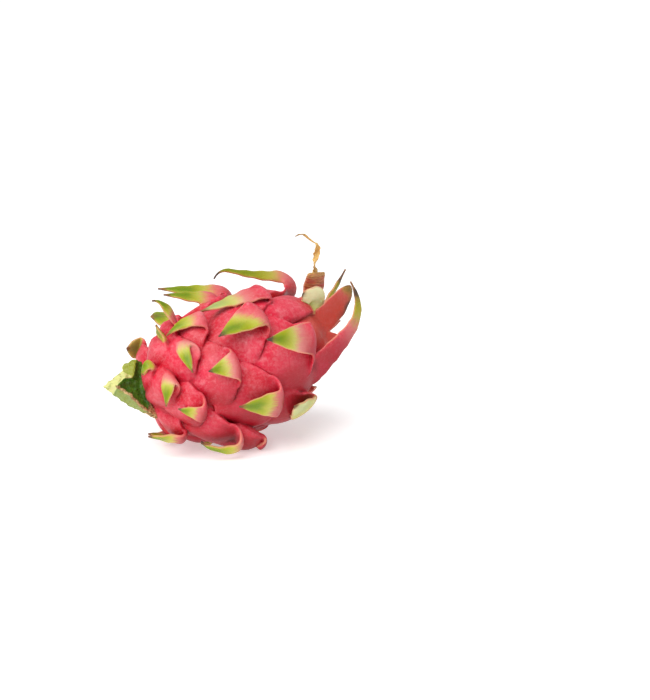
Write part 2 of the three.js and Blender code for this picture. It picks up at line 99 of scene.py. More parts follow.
class Bench:
    """Hand work on meshes: adding, shaping, joining and finishing them."""

    @staticmethod
    def clear() -> None:
        """Leaves nothing selected."""
        if bpy.context.object is not None and bpy.context.object.mode != "OBJECT":
            bpy.ops.object.mode_set(mode="OBJECT")
        bpy.ops.object.select_all(action="DESELECT")

    @staticmethod
    def pick(*objects: Piece) -> None:
        """Selects these objects alone and makes the first one active."""
        Bench.clear()
        for piece in objects:
            piece.select_set(True)
        bpy.context.view_layer.objects.active = objects[0]

    @staticmethod
    def taken(name: str) -> Piece:
        """Names the object that was just added and returns it."""
        piece = bpy.context.object
        piece.name = name
        piece.data.name = name
        return piece

    @staticmethod
    def points(piece: Piece) -> Array:
        """The vertices of a piece, one row each."""
        values = np.empty(len(piece.data.vertices) * 3, dtype=np.float64)
        piece.data.vertices.foreach_get("co", values)
        return values.reshape(-1, 3)

    @staticmethod
    def place(piece: Piece, points: Array) -> None:
        """Moves the vertices of a piece to points, in metres."""
        piece.data.vertices.foreach_set("co", points.astype(np.float32).ravel())
        piece.data.update()

    @staticmethod
    def normals(piece: Piece) -> Array:
        """The way each vertex of a piece faces, one row each."""
        values = np.empty(len(piece.data.vertices) * 3)
        piece.data.vertices.foreach_get("normal", values)
        return values.reshape(-1, 3)

    @staticmethod
    def note(piece: Piece, name: str, columns: tuple[Array | float, ...], rounds: int = 0) -> None:
        """Writes up to three numbers for each vertex as one attribute.

        Args:
            piece: the piece they are noted on.
            name: name of the attribute.
            columns: one value for each vertex, or one for all of them.
            rounds: how many times they are first averaged with their neighbours.
        """
        values = np.zeros((len(piece.data.vertices), 3))
        for k, column in enumerate(columns):
            values[:, k] = column
        if rounds:
            values = Bench.averaged(values, Bench.links(piece), rounds)
        layer = piece.data.attributes.get(name)
        if layer is None:
            layer = piece.data.attributes.new(name, "FLOAT_VECTOR", "POINT")
        layer.data.foreach_set("vector", values.astype(np.float32).ravel())

    @staticmethod
    def noted(piece: Piece, name: str) -> Array:
        """Reads back an attribute written by note."""
        values = np.empty(len(piece.data.vertices) * 3, dtype=np.float32)
        piece.data.attributes[name].data.foreach_get("vector", values)
        return values.reshape(-1, 3).astype(np.float64)

    @staticmethod
    def apply(piece: Piece, kind: str, **settings: Any) -> None:
        """Adds one modifier with its settings and applies it."""
        Bench.pick(piece)
        modifier = piece.modifiers.new(kind.title(), kind)
        for key, value in settings.items():
            setattr(modifier, key, value)
        bpy.ops.object.modifier_apply(modifier=modifier.name)

    @staticmethod
    def join(pieces: list[Piece], name: str) -> Piece:
        """Joins pieces into one object of that name."""
        Bench.pick(*pieces)
        bpy.ops.object.join()
        return Bench.taken(name)

    @staticmethod
    @contextmanager
    def editing(piece: Piece) -> Iterator[None]:
        """Opens a piece in edit mode with all of it selected, and closes it afterwards."""
        Bench.pick(piece)
        bpy.ops.object.mode_set(mode="EDIT")
        bpy.ops.mesh.select_all(action="SELECT")
        yield
        bpy.ops.object.mode_set(mode="OBJECT")

    @staticmethod
    def cut_level(piece: Piece) -> None:
        """Cuts off and closes what lies below the surface the fruit rests on."""
        with Bench.editing(piece):
            bpy.ops.mesh.bisect(
                plane_co=(0, 0, 0), plane_no=(0, 0, 1), use_fill=True, clear_inner=True
            )

    @staticmethod
    def keep_largest(piece: Piece) -> Piece:
        """Drops every loose scrap of a piece and returns what is left."""
        name = piece.name
        Bench.pick(piece)
        bpy.ops.mesh.separate(type="LOOSE")
        parts = sorted(bpy.context.selected_objects, key=lambda o: -len(o.data.polygons))
        for scrap in parts[1:]:
            bpy.data.objects.remove(scrap)
        Bench.pick(parts[0])
        return Bench.taken(name)

    @staticmethod
    def links(piece: Piece) -> tuple[Array, Array]:
        """The two vertices of every edge of a piece."""
        ends = np.empty(len(piece.data.edges) * 2, dtype=np.int64)
        piece.data.edges.foreach_get("vertices", ends)
        return ends[0::2], ends[1::2]

    @staticmethod
    def averaged(values: Array, links: tuple[Array, Array], rounds: int) -> Array:
        """Spreads per-vertex values over their neighbours.

        Args:
            values: one row or number for each vertex.
            links: the ends of the edges.
            rounds: how many times each value is averaged with its neighbours.

        Returns:
            The smoothed values.
        """
        a, b = links
        flat = values.reshape(len(values), -1).copy()
        count = np.bincount(a, minlength=len(flat)) + np.bincount(b, minlength=len(flat))
        for _ in range(rounds):
            for k in range(flat.shape[1]):
                column = flat[:, k]
                near = np.bincount(a, column[b], len(flat))
                near += np.bincount(b, column[a], len(flat))
                flat[:, k] = 0.5 * column + 0.5 * near / np.maximum(count, 1)
        return flat.reshape(values.shape)

    @staticmethod
    def hand_over(piece: Piece, node: str, slot: str) -> None:
        """Lets a finished piece stand for its CAD node."""
        Bench.pick(piece)
        bpy.ops.object.shade_smooth()
        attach(piece, "root")
        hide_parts(node)
        faces = sum(len(p.vertices) - 2 for p in piece.data.polygons)
        LOG.info("%s: %d triangles, stands for %s", piece.name, faces, node)


# ---------------------------------------------------------------- shader work


def math_node(operation: str, swapped: bool = False) -> Any:
    """A method that adds a Math node of that kind on a shade and another number.

    Args:
        operation: what the node works out.
        swapped: whether the other number comes first.

    Returns:
        The method.
    """

    def method(shade: "Shade", other: Any) -> "Shade":
        pair = (other, shade) if swapped else (shade, other)
        settings = {"operation": operation}
        node = shade.graph.node("ShaderNodeMath", settings, {0: pair[0], 1: pair[1]})
        return Shade(shade.graph, node.outputs[0])

    return method


class Shade:
    """A number that varies over a surface, with the arithmetic that adds Math nodes."""

    __add__ = math_node("ADD")
    __radd__ = math_node("ADD", swapped=True)
    __sub__ = math_node("SUBTRACT")
    __rsub__ = math_node("SUBTRACT", swapped=True)
    __mul__ = math_node("MULTIPLY")
    __rmul__ = math_node("MULTIPLY", swapped=True)

    def __init__(self, graph: "Graph", socket: Socket) -> None:
        """Wraps one output socket of a graph."""
        self.graph = graph
        self.socket = socket

    def ramp(self, low: float, high: float) -> "Shade":
        """Rises smoothly from 0 at low to 1 at high."""
        node = self.graph.node(
            "ShaderNodeMapRange",
            {"interpolation_type": "SMOOTHSTEP"},
            {"Value": self, "From Min": low, "From Max": high},
        )
        return Shade(self.graph, node.outputs[0])

    def held(self) -> "Shade":
        """Kept between 0 and 1."""
        node = self.graph.node("ShaderNodeClamp", {}, {"Value": self})
        return Shade(self.graph, node.outputs[0])


class Graph:
    """The nodes of one material."""

    def __init__(self, name: str) -> None:
        """Starts a material of that name with an empty graph."""
        self.material = bpy.data.materials.new(name)
        self.material.use_nodes = True
        self.tree = self.material.node_tree
        self.tree.nodes.clear()

    def node(self, kind: str, settings: dict[str, Any], sockets: dict[Any, Any]) -> bpy.types.Node:
        """Adds a node.

        Args:
            kind: the node's type.
            settings: its own properties, which are set first.
            sockets: a value, socket or Shade for each input, by name or number.

        Returns:
            The new node.
        """
        node = self.tree.nodes.new(kind)
        for key, value in settings.items():
            setattr(node, key, value)
        for key, value in sockets.items():
            source = value.socket if isinstance(value, Shade) else value
            if isinstance(source, Socket):
                self.tree.links.new(source, node.inputs[key])
            else:
                node.inputs[key].default_value = source
        return node

    def mix(self, factor: Any, a: Any, b: Any, way: str = "MIX") -> Socket:
        """Mixes colour b over colour a by factor."""
        settings = {"data_type": "RGBA", "blend_type": way}
        return self.node("ShaderNodeMix", settings, {0: factor, 6: a, 7: b}).outputs[2]

    def where(self) -> Socket:
        """The place on the object, in metres."""
        return self.node("ShaderNodeTexCoord", {}, {}).outputs["Object"]

    def attribute(self, name: str) -> Socket:
        """The vector noted on each vertex under that name."""
        return self.node("ShaderNodeAttribute", {"attribute_name": name}, {}).outputs["Vector"]

    def parts(self, vector: Socket) -> tuple[Shade, Shade, Shade]:
        """The three numbers of a vector."""
        node = self.node("ShaderNodeSeparateXYZ", {}, {0: vector})
        return tuple(Shade(self, out) for out in node.outputs)

    def stretch(self, vector: Socket, by: tuple[float, float, float]) -> Socket:
        """A vector scaled by a factor on each axis."""
        settings = {"operation": "MULTIPLY"}
        return self.node("ShaderNodeVectorMath", settings, {0: vector, 1: by}).outputs[0]

    def noise(self, vector: Socket, scale: float, detail: float = 2.0, rough: float = 0.5) -> Shade:
        """Cloudy noise, from 0 to 1."""
        sockets = {"Vector": vector, "Scale": scale, "Detail": detail, "Roughness": rough}
        return Shade(self, self.node("ShaderNodeTexNoise", {}, sockets).outputs["Fac"])

    def cells(self, vector: Socket, scale: float) -> Shade:
        """Distance to the nearest of many scattered points."""
        sockets = {"Vector": vector, "Scale": scale}
        return Shade(self, self.node("ShaderNodeTexVoronoi", {}, sockets).outputs["Distance"])

    def surface(self, colour: Any, roughness: Any, height: Shade | None, relief: float,
                **fixed: Any) -> bpy.types.Material:
        """Ends the graph in one Principled shader.

        Args:
            colour: base colour.
            roughness: how rough it is.
            height: what stands out of the surface, or None.
            relief: how far a height of 1 stands out, in metres.
            fixed: what is the same all over, by socket name with _ for a space.

        Returns:
            The material.
        """
        sockets = {"Base Color": colour, "Roughness": roughness}
        sockets.update({key.replace("_", " "): value for key, value in fixed.items()})
        if height is not None:
            raised = {"Strength": 1.0, "Distance": relief, "Height": height}
            sockets["Normal"] = self.node("ShaderNodeBump", {}, raised).outputs[0]
        shader = self.node("ShaderNodeBsdfPrincipled", {}, sockets)
        self.node("ShaderNodeOutputMaterial", {}, {"Surface": shader.outputs[0]})
        return self.material


# ---------------------------------------------------------------- finishes


@dataclass(frozen=True)
class SkinFinish:
    """Waxy skin: pink-red pads, and bracts that turn pale, green and dry toward their tips. Shade
    is painted into it as a deeper red in its creases and on the side turned from the light, with a
    painted sheen on its ridges and lit side.
    """

    crimson: Colour = paint(208, 4, 38)
    rose: Colour = paint(228, 30, 66)
    # Painted shade: the deep red painted into creases.
    painted_crease_shade: Colour = paint(160, 0, 22)
    # Painted shade: the darker red painted on the side of the fruit turned from the light.
    painted_side_shade: Colour = paint(116, 0, 10)
    # Pale waxy bloom, also used as a painted sheen on ridges and on the lit side.
    bloom_and_sheen_pink: Colour = paint(240, 146, 154)
    blush: Colour = paint(230, 146, 140)
    cream: Colour = paint(226, 210, 146)
    leaf: Colour = paint(112, 142, 4)
    lime: Colour = paint(190, 188, 40)
    pith: Colour = paint(240, 242, 186)
    margin: Colour = paint(228, 158, 126)
    olive: Colour = paint(150, 128, 30)
    russet: Colour = paint(198, 88, 68)
    dried: Colour = paint(84, 66, 56)
    cork: Colour = paint(150, 104, 62)
    straw: Colour = paint(214, 166, 104)

    def make(self) -> bpy.types.Material:
        """Builds the material from what is noted on the skin."""
        g = Graph("waxy_fruit_skin")
        where = g.where()
        green, pale, dry = g.parts(g.attribute("ripening"))
        # Creases get painted shade and ridges a painted sheen; edge is the pale margin of the
        # flaps.
        crease_shade_mask, ridge_sheen, edge = g.parts(g.attribute("relief"))
        crown, olive, scar = g.parts(g.attribute("ageing"))
        # shaded marks the side turned from the light, where shade is painted. bleached marks pale
        # pith, which is partly painted light.
        middle, shaded, pith_and_glow_mask = g.parts(g.attribute("light"))
        husk = g.parts(g.attribute("wrinkled"))[0]
        grain = g.attribute("grain")
        fibres = g.noise(g.stretch(grain, (1.1, 0.07, 3.0)), 1.0, 3.0, 0.6)
        folds = g.noise(g.stretch(grain, (0.06, 0.75, 3.0)), 1.0, 2.0, 0.5)
        folds = folds.ramp(0.35, 0.65) * husk
        clouds = g.noise(where, 60.0, 3.0, 0.55)
        patches = g.noise(where, 150.0, 3.0, 0.6)
        mottle = g.noise(where, 420.0, 4.0, 0.65)
        freckles = g.noise(where, 900.0, 2.0, 0.6)
        dots = 1 - g.cells(where, 700.0).ramp(0.12, 0.3)

        pink = g.mix(clouds.ramp(0.32, 0.68), self.crimson, self.rose)
        # Pale bloom from the mottling, plus a painted sheen on ridges. It is kept out of creases
        # and off the shaded side, so the lit side is painted lighter.
        bloom_and_sheen = (mottle.ramp(0.42, 0.72) * 0.3 + freckles.ramp(0.4, 0.75) * 0.1 + dots * 0.16
               + patches.ramp(0.5, 0.72) * clouds.ramp(0.42, 0.6) * 0.35 + ridge_sheen * 0.2)
        pink = g.mix((bloom_and_sheen * (1 - crease_shade_mask) * (1 - shaded * 0.8)).held(), pink, self.bloom_and_sheen_pink)
        # Painted shade: creases and the side turned from the light are painted a darker red.
        painted_shade = g.mix(shaded, self.painted_crease_shade, self.painted_side_shade)
        pink = g.mix((crease_shade_mask * 0.75 + shaded * 0.7).held(), pink, painted_shade)
        pink = g.mix(crown * 0.75, pink, self.russet)
        pink = g.mix(folds * 0.4, pink, self.straw)

        turning = (green + (fibres - 0.5) * 0.3 + (patches - 0.5) * 0.08).ramp(0.12, 0.42)
        leafy = green.ramp(0.3, 0.8) * (0.35 + middle * 0.65)
        leaf = g.mix((leafy + (fibres - 0.5) * 0.5 * leafy).held(), self.lime, self.leaf)
        leaf = g.mix((pale * 0.8).held(), leaf, self.cream)
        leaf = g.mix(olive, leaf, self.olive)
        # Pale pith, partly painted light that lightens thin leaves turned away from the light.
        leaf = g.mix(pith_and_glow_mask, leaf, self.pith)
        colour = g.mix((pale * 0.85).held(), pink, self.blush)
        colour = g.mix(turning, colour, leaf)
        colour = g.mix(edge * 0.7, colour, self.margin)
        withering = (dry + (fibres - 0.5) * 0.4 * dry.ramp(0.02, 0.5)).held()
        withered = g.mix(husk, g.mix(patches.ramp(0.4, 0.6), self.dried, self.cork), self.straw)
        colour = g.mix(withering, colour, withered)
        colour = g.mix(scar, colour, g.mix(fibres, self.dried, self.cork))
        roughness = (0.4 + (mottle - 0.5) * 0.3 + withering * 0.35 - turning * 0.04).held()
        height = (freckles * 0.3 + mottle * 0.5 + dots * 0.2 + fibres * (0.35 + turning * 0.4)
                  + patches * 0.4 + folds * 3.0)
        return g.surface(
            colour, roughness, height, 0.00035, Subsurface_Weight=0.15,
            Subsurface_Radius=(1.0, 0.2, 0.25), Subsurface_Scale=0.003, Specular_IOR_Level=0.32,
        )


@dataclass(frozen=True)
class StemFinish:
    """Cut cactus stem: dark green skin, pale wet cut faces and corky tan along its rib."""

    skin: Colour = paint(86, 136, 28)
    shade: Colour = paint(58, 100, 24)
    cut: Colour = paint(152, 160, 42)
    flesh: Colour = paint(222, 220, 140)
    under: Colour = paint(140, 156, 62)
    cork: Colour = paint(214, 180, 124)
    bark: Colour = paint(128, 88, 48)

    def make(self) -> bpy.types.Material:
        """Builds the material from the attribute faces."""
        g = Graph("cut_cactus_stem")
        where = g.where()
        cut, cork, under = g.parts(g.attribute("faces"))
        clouds = g.noise(where, 160.0, 3.0, 0.6)
        specks = g.noise(where, 420.0, 4.0, 0.8)
        pits = g.noise(where, 300.0, 2.0, 0.5).ramp(0.56, 0.66)
        colour = g.mix(clouds.ramp(0.3, 0.7), self.shade, self.skin)
        colour = g.mix((under + (clouds - 0.5) * 0.6 * under).held(), colour, self.under)
        wet = g.parts(g.attribute("wetness"))[0]
        flesh = g.mix((wet + (clouds - 0.5) * 0.6).ramp(0.3, 0.7), self.cut, self.flesh)
        colour = g.mix(cut.ramp(0.35, 0.65), colour, flesh)
        colour = g.mix(pits * (cut + under).held() * 0.6, colour, self.cut)
        corky = (cork + (specks - 0.5) * 1.1).ramp(0.45, 0.6) * cork.ramp(0.1, 0.3)
        colour = g.mix(corky, colour, g.mix(specks.ramp(0.4, 0.6), self.bark, self.cork))
        roughness = (0.42 + corky * 0.4 + (clouds - 0.5) * 0.2).held()
        height = clouds * 0.5 + specks * (0.2 + corky * 0.8) - pits * (cut + under) * 0.5
        return g.surface(
            colour, roughness, height, 0.0008, Subsurface_Weight=0.08,
            Subsurface_Radius=(0.5, 1.0, 0.2), Subsurface_Scale=0.0015,
        )


@dataclass(frozen=True)
class WitheredFinish:
    """Dry papery flower remains, tan and gold with darker veins."""

    gold: Colour = paint(250, 212, 132)
    tan: Colour = paint(228, 176, 98)
    brown: Colour = paint(136, 92, 54)

    def make(self) -> bpy.types.Material:
        """Builds the material from the attribute paper."""
        g = Graph("dry_flower_paper")
        where = g.where()
        paper = g.attribute("paper")
        age = g.parts(paper)[2]
        veins = g.noise(g.stretch(paper, (6.0, 0.8, 1.0)), 1.0, 3.0, 0.65)
        clouds = g.noise(where, 220.0, 3.0, 0.6)
        colour = g.mix(clouds.ramp(0.35, 0.65), self.tan, self.gold)
        colour = g.mix((veins.ramp(0.5, 0.75) * 0.55 + age).held(), colour, self.brown)
        roughness = (0.62 + (clouds - 0.5) * 0.3).held()
        return g.surface(colour, roughness, veins + clouds * 0.5, 0.0004)


# ---------------------------------------------------------------- fruit body


@dataclass(frozen=True)
class Seat:
    """Where a bract grows from: its place, its directions and how the skin bends there."""

    origin: Array
    forward: Array
    side: Array
    outward: Array
    bend_along: float
    bend_across: float


@dataclass(frozen=True)
class FruitBody:
    """The smooth turned body under the bracts. Lengths are in millimetres."""

    stem_reach: float = 63.0
    flower_reach: float = 64.0
    girth_radius: float = 41.0
    stem_fullness: float = 2.7
    flower_fullness: float = 2.1
    flower_taper: float = 0.6
    scar_radius: float = 8.0
    scar_depth: float = 3.0
    axis_lift: float = 12.0
    tightest_along: float = 22.0
    tightest_across: float = 18.0
    stations: int = 2000
    centre: tuple[float, float, float] = (-1.0, 1.55, 48.0)

    @property
    def along(self) -> Array:
        """Direction from the stem end to the flower end."""
        lift = math.radians(self.axis_lift)
        return np.array([math.cos(lift), 0.0, math.sin(lift)])

    @property
    def upward(self) -> Array:
        """Square to the axis, upward."""
        lift = math.radians(self.axis_lift)
        return np.array([-math.sin(lift), 0.0, math.cos(lift)])

    @property
    def front(self) -> Array:
        """Square to the axis, toward the front."""
        return np.array([0.0, -1.0, 0.0])

    def radius(self, a: Array | float) -> Array:
        """Radius of the body at a along its axis from the widest ring."""
        a = np.asarray(a, dtype=float)
        stem = 1.0 - np.abs(np.minimum(a, 0.0) / self.stem_reach) ** self.stem_fullness
        flower = 1.0 - (np.maximum(a, 0.0) / self.flower_reach) ** self.flower_fullness
        flower_end = np.clip(flower, 0, 1) ** self.flower_taper
        return self.girth_radius * np.where(a < 0.0, np.sqrt(np.clip(stem, 0, 1)), flower_end)

    def meridian(self) -> tuple[Array, Array]:
        """Stations along the axis, and the length of skin from the stem pole to each."""
        swing = 0.5 * (1.0 - np.cos(np.pi * np.arange(self.stations + 1) / self.stations))
        a = -self.stem_reach + (self.stem_reach + self.flower_reach) * swing
        steps = np.hypot(np.diff(a), np.diff(self.radius(a)))
        return a, np.concatenate([[0.0], np.cumsum(steps)])

    def seat(self, a: float, turn: float) -> Seat:
        """The seat of a bract.

        Args:
            a: station along the axis.
            turn: angle round the axis from the top toward the front, in radians.

        Returns:
            The seat on the skin there.
        """
        reach = 0.5
        r0, r1, r2 = (float(self.radius(a + d)) for d in (-reach, 0.0, reach))
        slope = (r2 - r0) / (2 * reach)
        curve = (r2 - 2 * r1 + r0) / (reach * reach)
        steep = math.sqrt(1 + slope * slope)
        radial = math.cos(turn) * self.upward + math.sin(turn) * self.front
        return Seat(
            origin=np.array(self.centre) + a * self.along + r1 * radial,
            forward=unit(self.along + slope * radial),
            side=-math.sin(turn) * self.upward + math.cos(turn) * self.front,
            outward=unit(radial - slope * self.along),
            bend_along=min(-curve / steep**3, 1 / self.tightest_along),
            bend_across=min(1 / steep / max(r1, 4.0), 1 / self.tightest_across),
        )

    def build(self) -> Piece:
        """Turns a sphere into the body, with the shallow scar of the flower in its end."""
        Bench.clear()
        bpy.ops.mesh.primitive_uv_sphere_add(segments=112, ring_count=80, radius=1.0)
        body = Bench.taken("fruit_body")
        ball = Bench.points(body)
        a = ball[:, 2] * np.where(ball[:, 2] < 0, self.stem_reach, self.flower_reach)
        r = self.radius(a)
        dish = ease(1.0 - r / (self.scar_radius + 1.0)) * (a > 0)
        a = np.where(a > 0, np.minimum(a, self.flower_reach - 2.0), a) - self.scar_depth * dish
        angle = np.arctan2(ball[:, 1], ball[:, 0])
        spoke = np.cos(angle)[:, None] * self.upward + np.sin(angle)[:, None] * self.front
        points = np.array(self.centre) + a[:, None] * self.along + r[:, None] * spoke
        Bench.place(body, points * MM)
        Bench.note(body, "growth", (-1.0, 0.0, -1.0))
        Bench.note(body, "grain", (angle * self.girth_radius, a))
        return body


# ---------------------------------------------------------------- bracts


@dataclass(frozen=True)
class BractForm:
    """How one bract grew. Lengths are millimetres along it from its root, angles are degrees."""

    pad: float = 34.0
    width: float = 17.5
    rise: float = 5.5
    sink: float = 3.0
    thick: float = 6.5
    arch: float = 0.008
    fold: float = 168.0
    curl: float = 3.8
    flap: float = 26.0
    point: float = 1.0
    full: float = 1.8
    yaw: float = 0.0
    roll: float = 0.0
    rolled_by: float = 1.0
    bend: float = 0.0
    hook: float = 0.0
    sweep: float = 0.0
    sweep_from: float = 0.6
    neck: float = 1.0
    lean: float = 0.0
    shift: float = 0.0
    turn: float = 0.0


@dataclass(frozen=True)
class BractTint:
    """How one bract ripened: where green takes over past the fold, and how pale or dry it is."""

    green: float = 0.42
    skew: float = 0.0
    pale: float = 0.6
    olive: float = 0.0
    dry: float = 0.92
    # How pale the pith of the leaf is; partly painted light that lightens thin leaves turned away
    # from the light.
    pith_and_glow: float = 0.0
    singe: float = 0.0


# What single bracts did differently from the rule, by their number from the stem end.
GROWN: dict[int, dict[str, float]] = {
    0: dict(shift=3, turn=59, pad=20, width=6.8, flap=5, thick=11, rise=8.5, full=2.5),
    1: dict(shift=3, turn=-6, pad=18, width=11, flap=14, fold=150),
    2: dict(shift=1.5, turn=5, pad=26, width=15, flap=13, yaw=-62, thick=13, rise=7, full=2,
        neck=0.65, lean=-0.4),
    3: dict(turn=-20, pad=18, width=10, flap=3, rise=3),
    4: dict(shift=-2, pad=22, width=13, flap=20, fold=152),
    5: dict(shift=3, turn=11, pad=21, width=13, flap=11, fold=52, curl=3, thick=12, rise=7,
        full=1.6, neck=0.8, lean=-0.6),
    6: dict(flap=7, shift=1, turn=3),
    7: dict(turn=4, pad=24, width=17, flap=12.5, yaw=24, thick=11, rise=6, neck=0.62, lean=1),
    8: dict(shift=-6, turn=-3, pad=20, width=14, flap=9, fold=140, thick=9, rise=6, full=3,
        yaw=-35),
    9: dict(pad=24, width=14, flap=3, rise=0.5, curl=2.2),
    10: dict(shift=-3, turn=4, pad=26, width=17.5, flap=17, yaw=-84, curl=2.8, thick=12, rise=7,
        full=2, neck=0.45, lean=-0.9),
    12: dict(shift=-3, turn=6, pad=30, width=16, flap=20, curl=7, rise=6, fold=175, bend=42,
        hook=35, neck=0.6, lean=0.9),
    13: dict(shift=-8.5, turn=27, pad=22, width=11.5, flap=21, fold=60, bend=30, hook=35, curl=6,
        full=1, rise=9, roll=50),
    15: dict(shift=-4.5, pad=30, width=23, flap=15, full=1.4, curl=4.2, yaw=6, neck=0.82,
        lean=-0.3),
    16: dict(shift=-9, turn=26, pad=24, width=20, flap=15, rise=2.5, fold=138, full=5, roll=55),
    17: dict(shift=2, turn=-10, pad=32, width=15, thick=13, flap=1.5, curl=3, rise=10.6,
        fold=178),
    18: dict(shift=-16, turn=9.5, pad=27, width=14.5, flap=22, yaw=34, neck=0.76, lean=-0.6,
        sweep=-50, sweep_from=1),
    20: dict(shift=-2, turn=1, pad=37, width=25, flap=28, yaw=20, curl=4.4, neck=0.7, lean=0.8),
    21: dict(shift=-2.5, turn=5, pad=28, width=13, flap=31, curl=4, fold=150, roll=58,
        rolled_by=0.5, rise=2),
    23: dict(shift=-4.5, turn=-8, width=24, flap=30, curl=5.2, yaw=-14, neck=0.8, lean=-0.8),
    25: dict(shift=6, turn=-4, width=21, flap=26, yaw=52),
    26: dict(shift=2, turn=19, pad=32, width=16, flap=43, fold=179),
    28: dict(shift=0, turn=-6, pad=43, width=29, flap=37.5, yaw=15, curl=5.5, full=2.1, neck=0.64,
        lean=-0.9),
    29: dict(shift=-14, turn=12, pad=30, width=15, flap=41, curl=5.5, fold=141, roll=72,
        rolled_by=0.5),
    30: dict(pad=32, width=15, flap=8, rise=1.5),
    31: dict(shift=8, turn=-0.5, pad=52, width=13, rise=6, thick=11, fold=176, curl=6, flap=9,
        full=4, point=0.6, roll=-90, rolled_by=0.7, yaw=10, sweep=-20, sweep_from=0.4),
    33: dict(shift=-8, turn=-14, width=16, rise=3.5, fold=5, curl=60, flap=70, bend=-24, yaw=-21,
        sweep=-80, sweep_from=2, full=1.4),
    34: dict(shift=-4, pad=42, width=15, flap=45.5, curl=9, fold=181, bend=-15, full=1.4, hook=85,
        roll=58, rolled_by=0.35, neck=0.76),
    35: dict(pad=26, width=14, flap=14, fold=165, curl=3, rise=2),
    36: dict(shift=7, pad=28, width=14, fold=40, curl=25, flap=22, point=0.6, full=4, sweep=-47,
        sweep_from=0.1),
    38: dict(shift=-8, pad=18, width=11, thick=5, fold=5, curl=40, flap=3, rise=1),
    39: dict(shift=-2, pad=24, width=14.5, fold=98, curl=10, flap=14, point=0.2, full=12,
        rolled_by=0.3, roll=80),
    41: dict(turn=-13, width=12, flap=9, rise=2),
    42: dict(pad=22, width=8, fold=70, curl=18, flap=30, sweep=40),
    44: dict(shift=-1, width=13, flap=13),
    46: dict(flap=4),
}

# The first bract of the crown, and the one that the dried flower stands on.
CROWN_FROM = 35
TRUNK = 39
# How single bracts ripened. The others follow the rule in tint_of.
RIPENED: dict[int, BractTint] = {
    0: BractTint(green=0.2),
    2: BractTint(green=0.33, pale=0.9),
    4: BractTint(green=0.4),
    5: BractTint(green=0.2, pale=0.3),
    7: BractTint(green=0.5),
    8: BractTint(green=0.24, pith_and_glow=0.2),
    10: BractTint(green=0.26, pale=0.9),
    12: BractTint(green=0.4),
    13: BractTint(green=0.4),
    15: BractTint(green=0.5, pale=1.0),
    17: BractTint(green=1.3, pale=0.1, dry=1.0),
    18: BractTint(green=0.42),
    20: BractTint(green=0.38),
    21: BractTint(green=0.35),
    23: BractTint(green=0.45, skew=0.15),
    25: BractTint(green=0.25, olive=0.25, pith_and_glow=0.45),
    26: BractTint(green=0.5, pale=1.0, pith_and_glow=0.4),
    28: BractTint(green=0.52, pale=1.0),
    29: BractTint(green=0.35),
    31: BractTint(green=0.12, pale=0.3, pith_and_glow=1.0, dry=0.98),
    33: BractTint(green=0.62, olive=0.5, dry=0.85),
    34: BractTint(green=0.36, olive=0.3),
    36: BractTint(green=0.86, pale=0.2, olive=0.8, dry=0.93, singe=1.0),
    39: BractTint(green=1.3, pale=0.1, olive=1.0, dry=0.93),
    41: BractTint(green=1.3, pale=0.1, olive=1.0, dry=0.97),
    42: BractTint(green=0.45, pale=0.1, olive=0.7, dry=0.8),
    44: BractTint(green=1.3, pale=0.1, olive=1.0, dry=0.97),
}


@dataclass
class Spine:
    """The middle line of a bract from root to tip, with the directions square to it."""

    points: Array
    across: Array
    normal: Array
    length: float
    fold_run: float
    start: Array

    def at(self, x: Array) -> tuple[Array, Array, Array]:
        """Place, sideways direction and facing at lengths x from the root."""
        last = len(self.points) - 1
        place = np.clip(x / self.length, 0.0, 1.0) * last
        low = np.minimum(place.astype(int), last - 1)
        part = (place - low)[:, None]
        lines = (self.points, self.across, self.normal)
        point, across, normal = (blend(line[low], line[low + 1], part) for line in lines)
        return point, across, unit(normal)


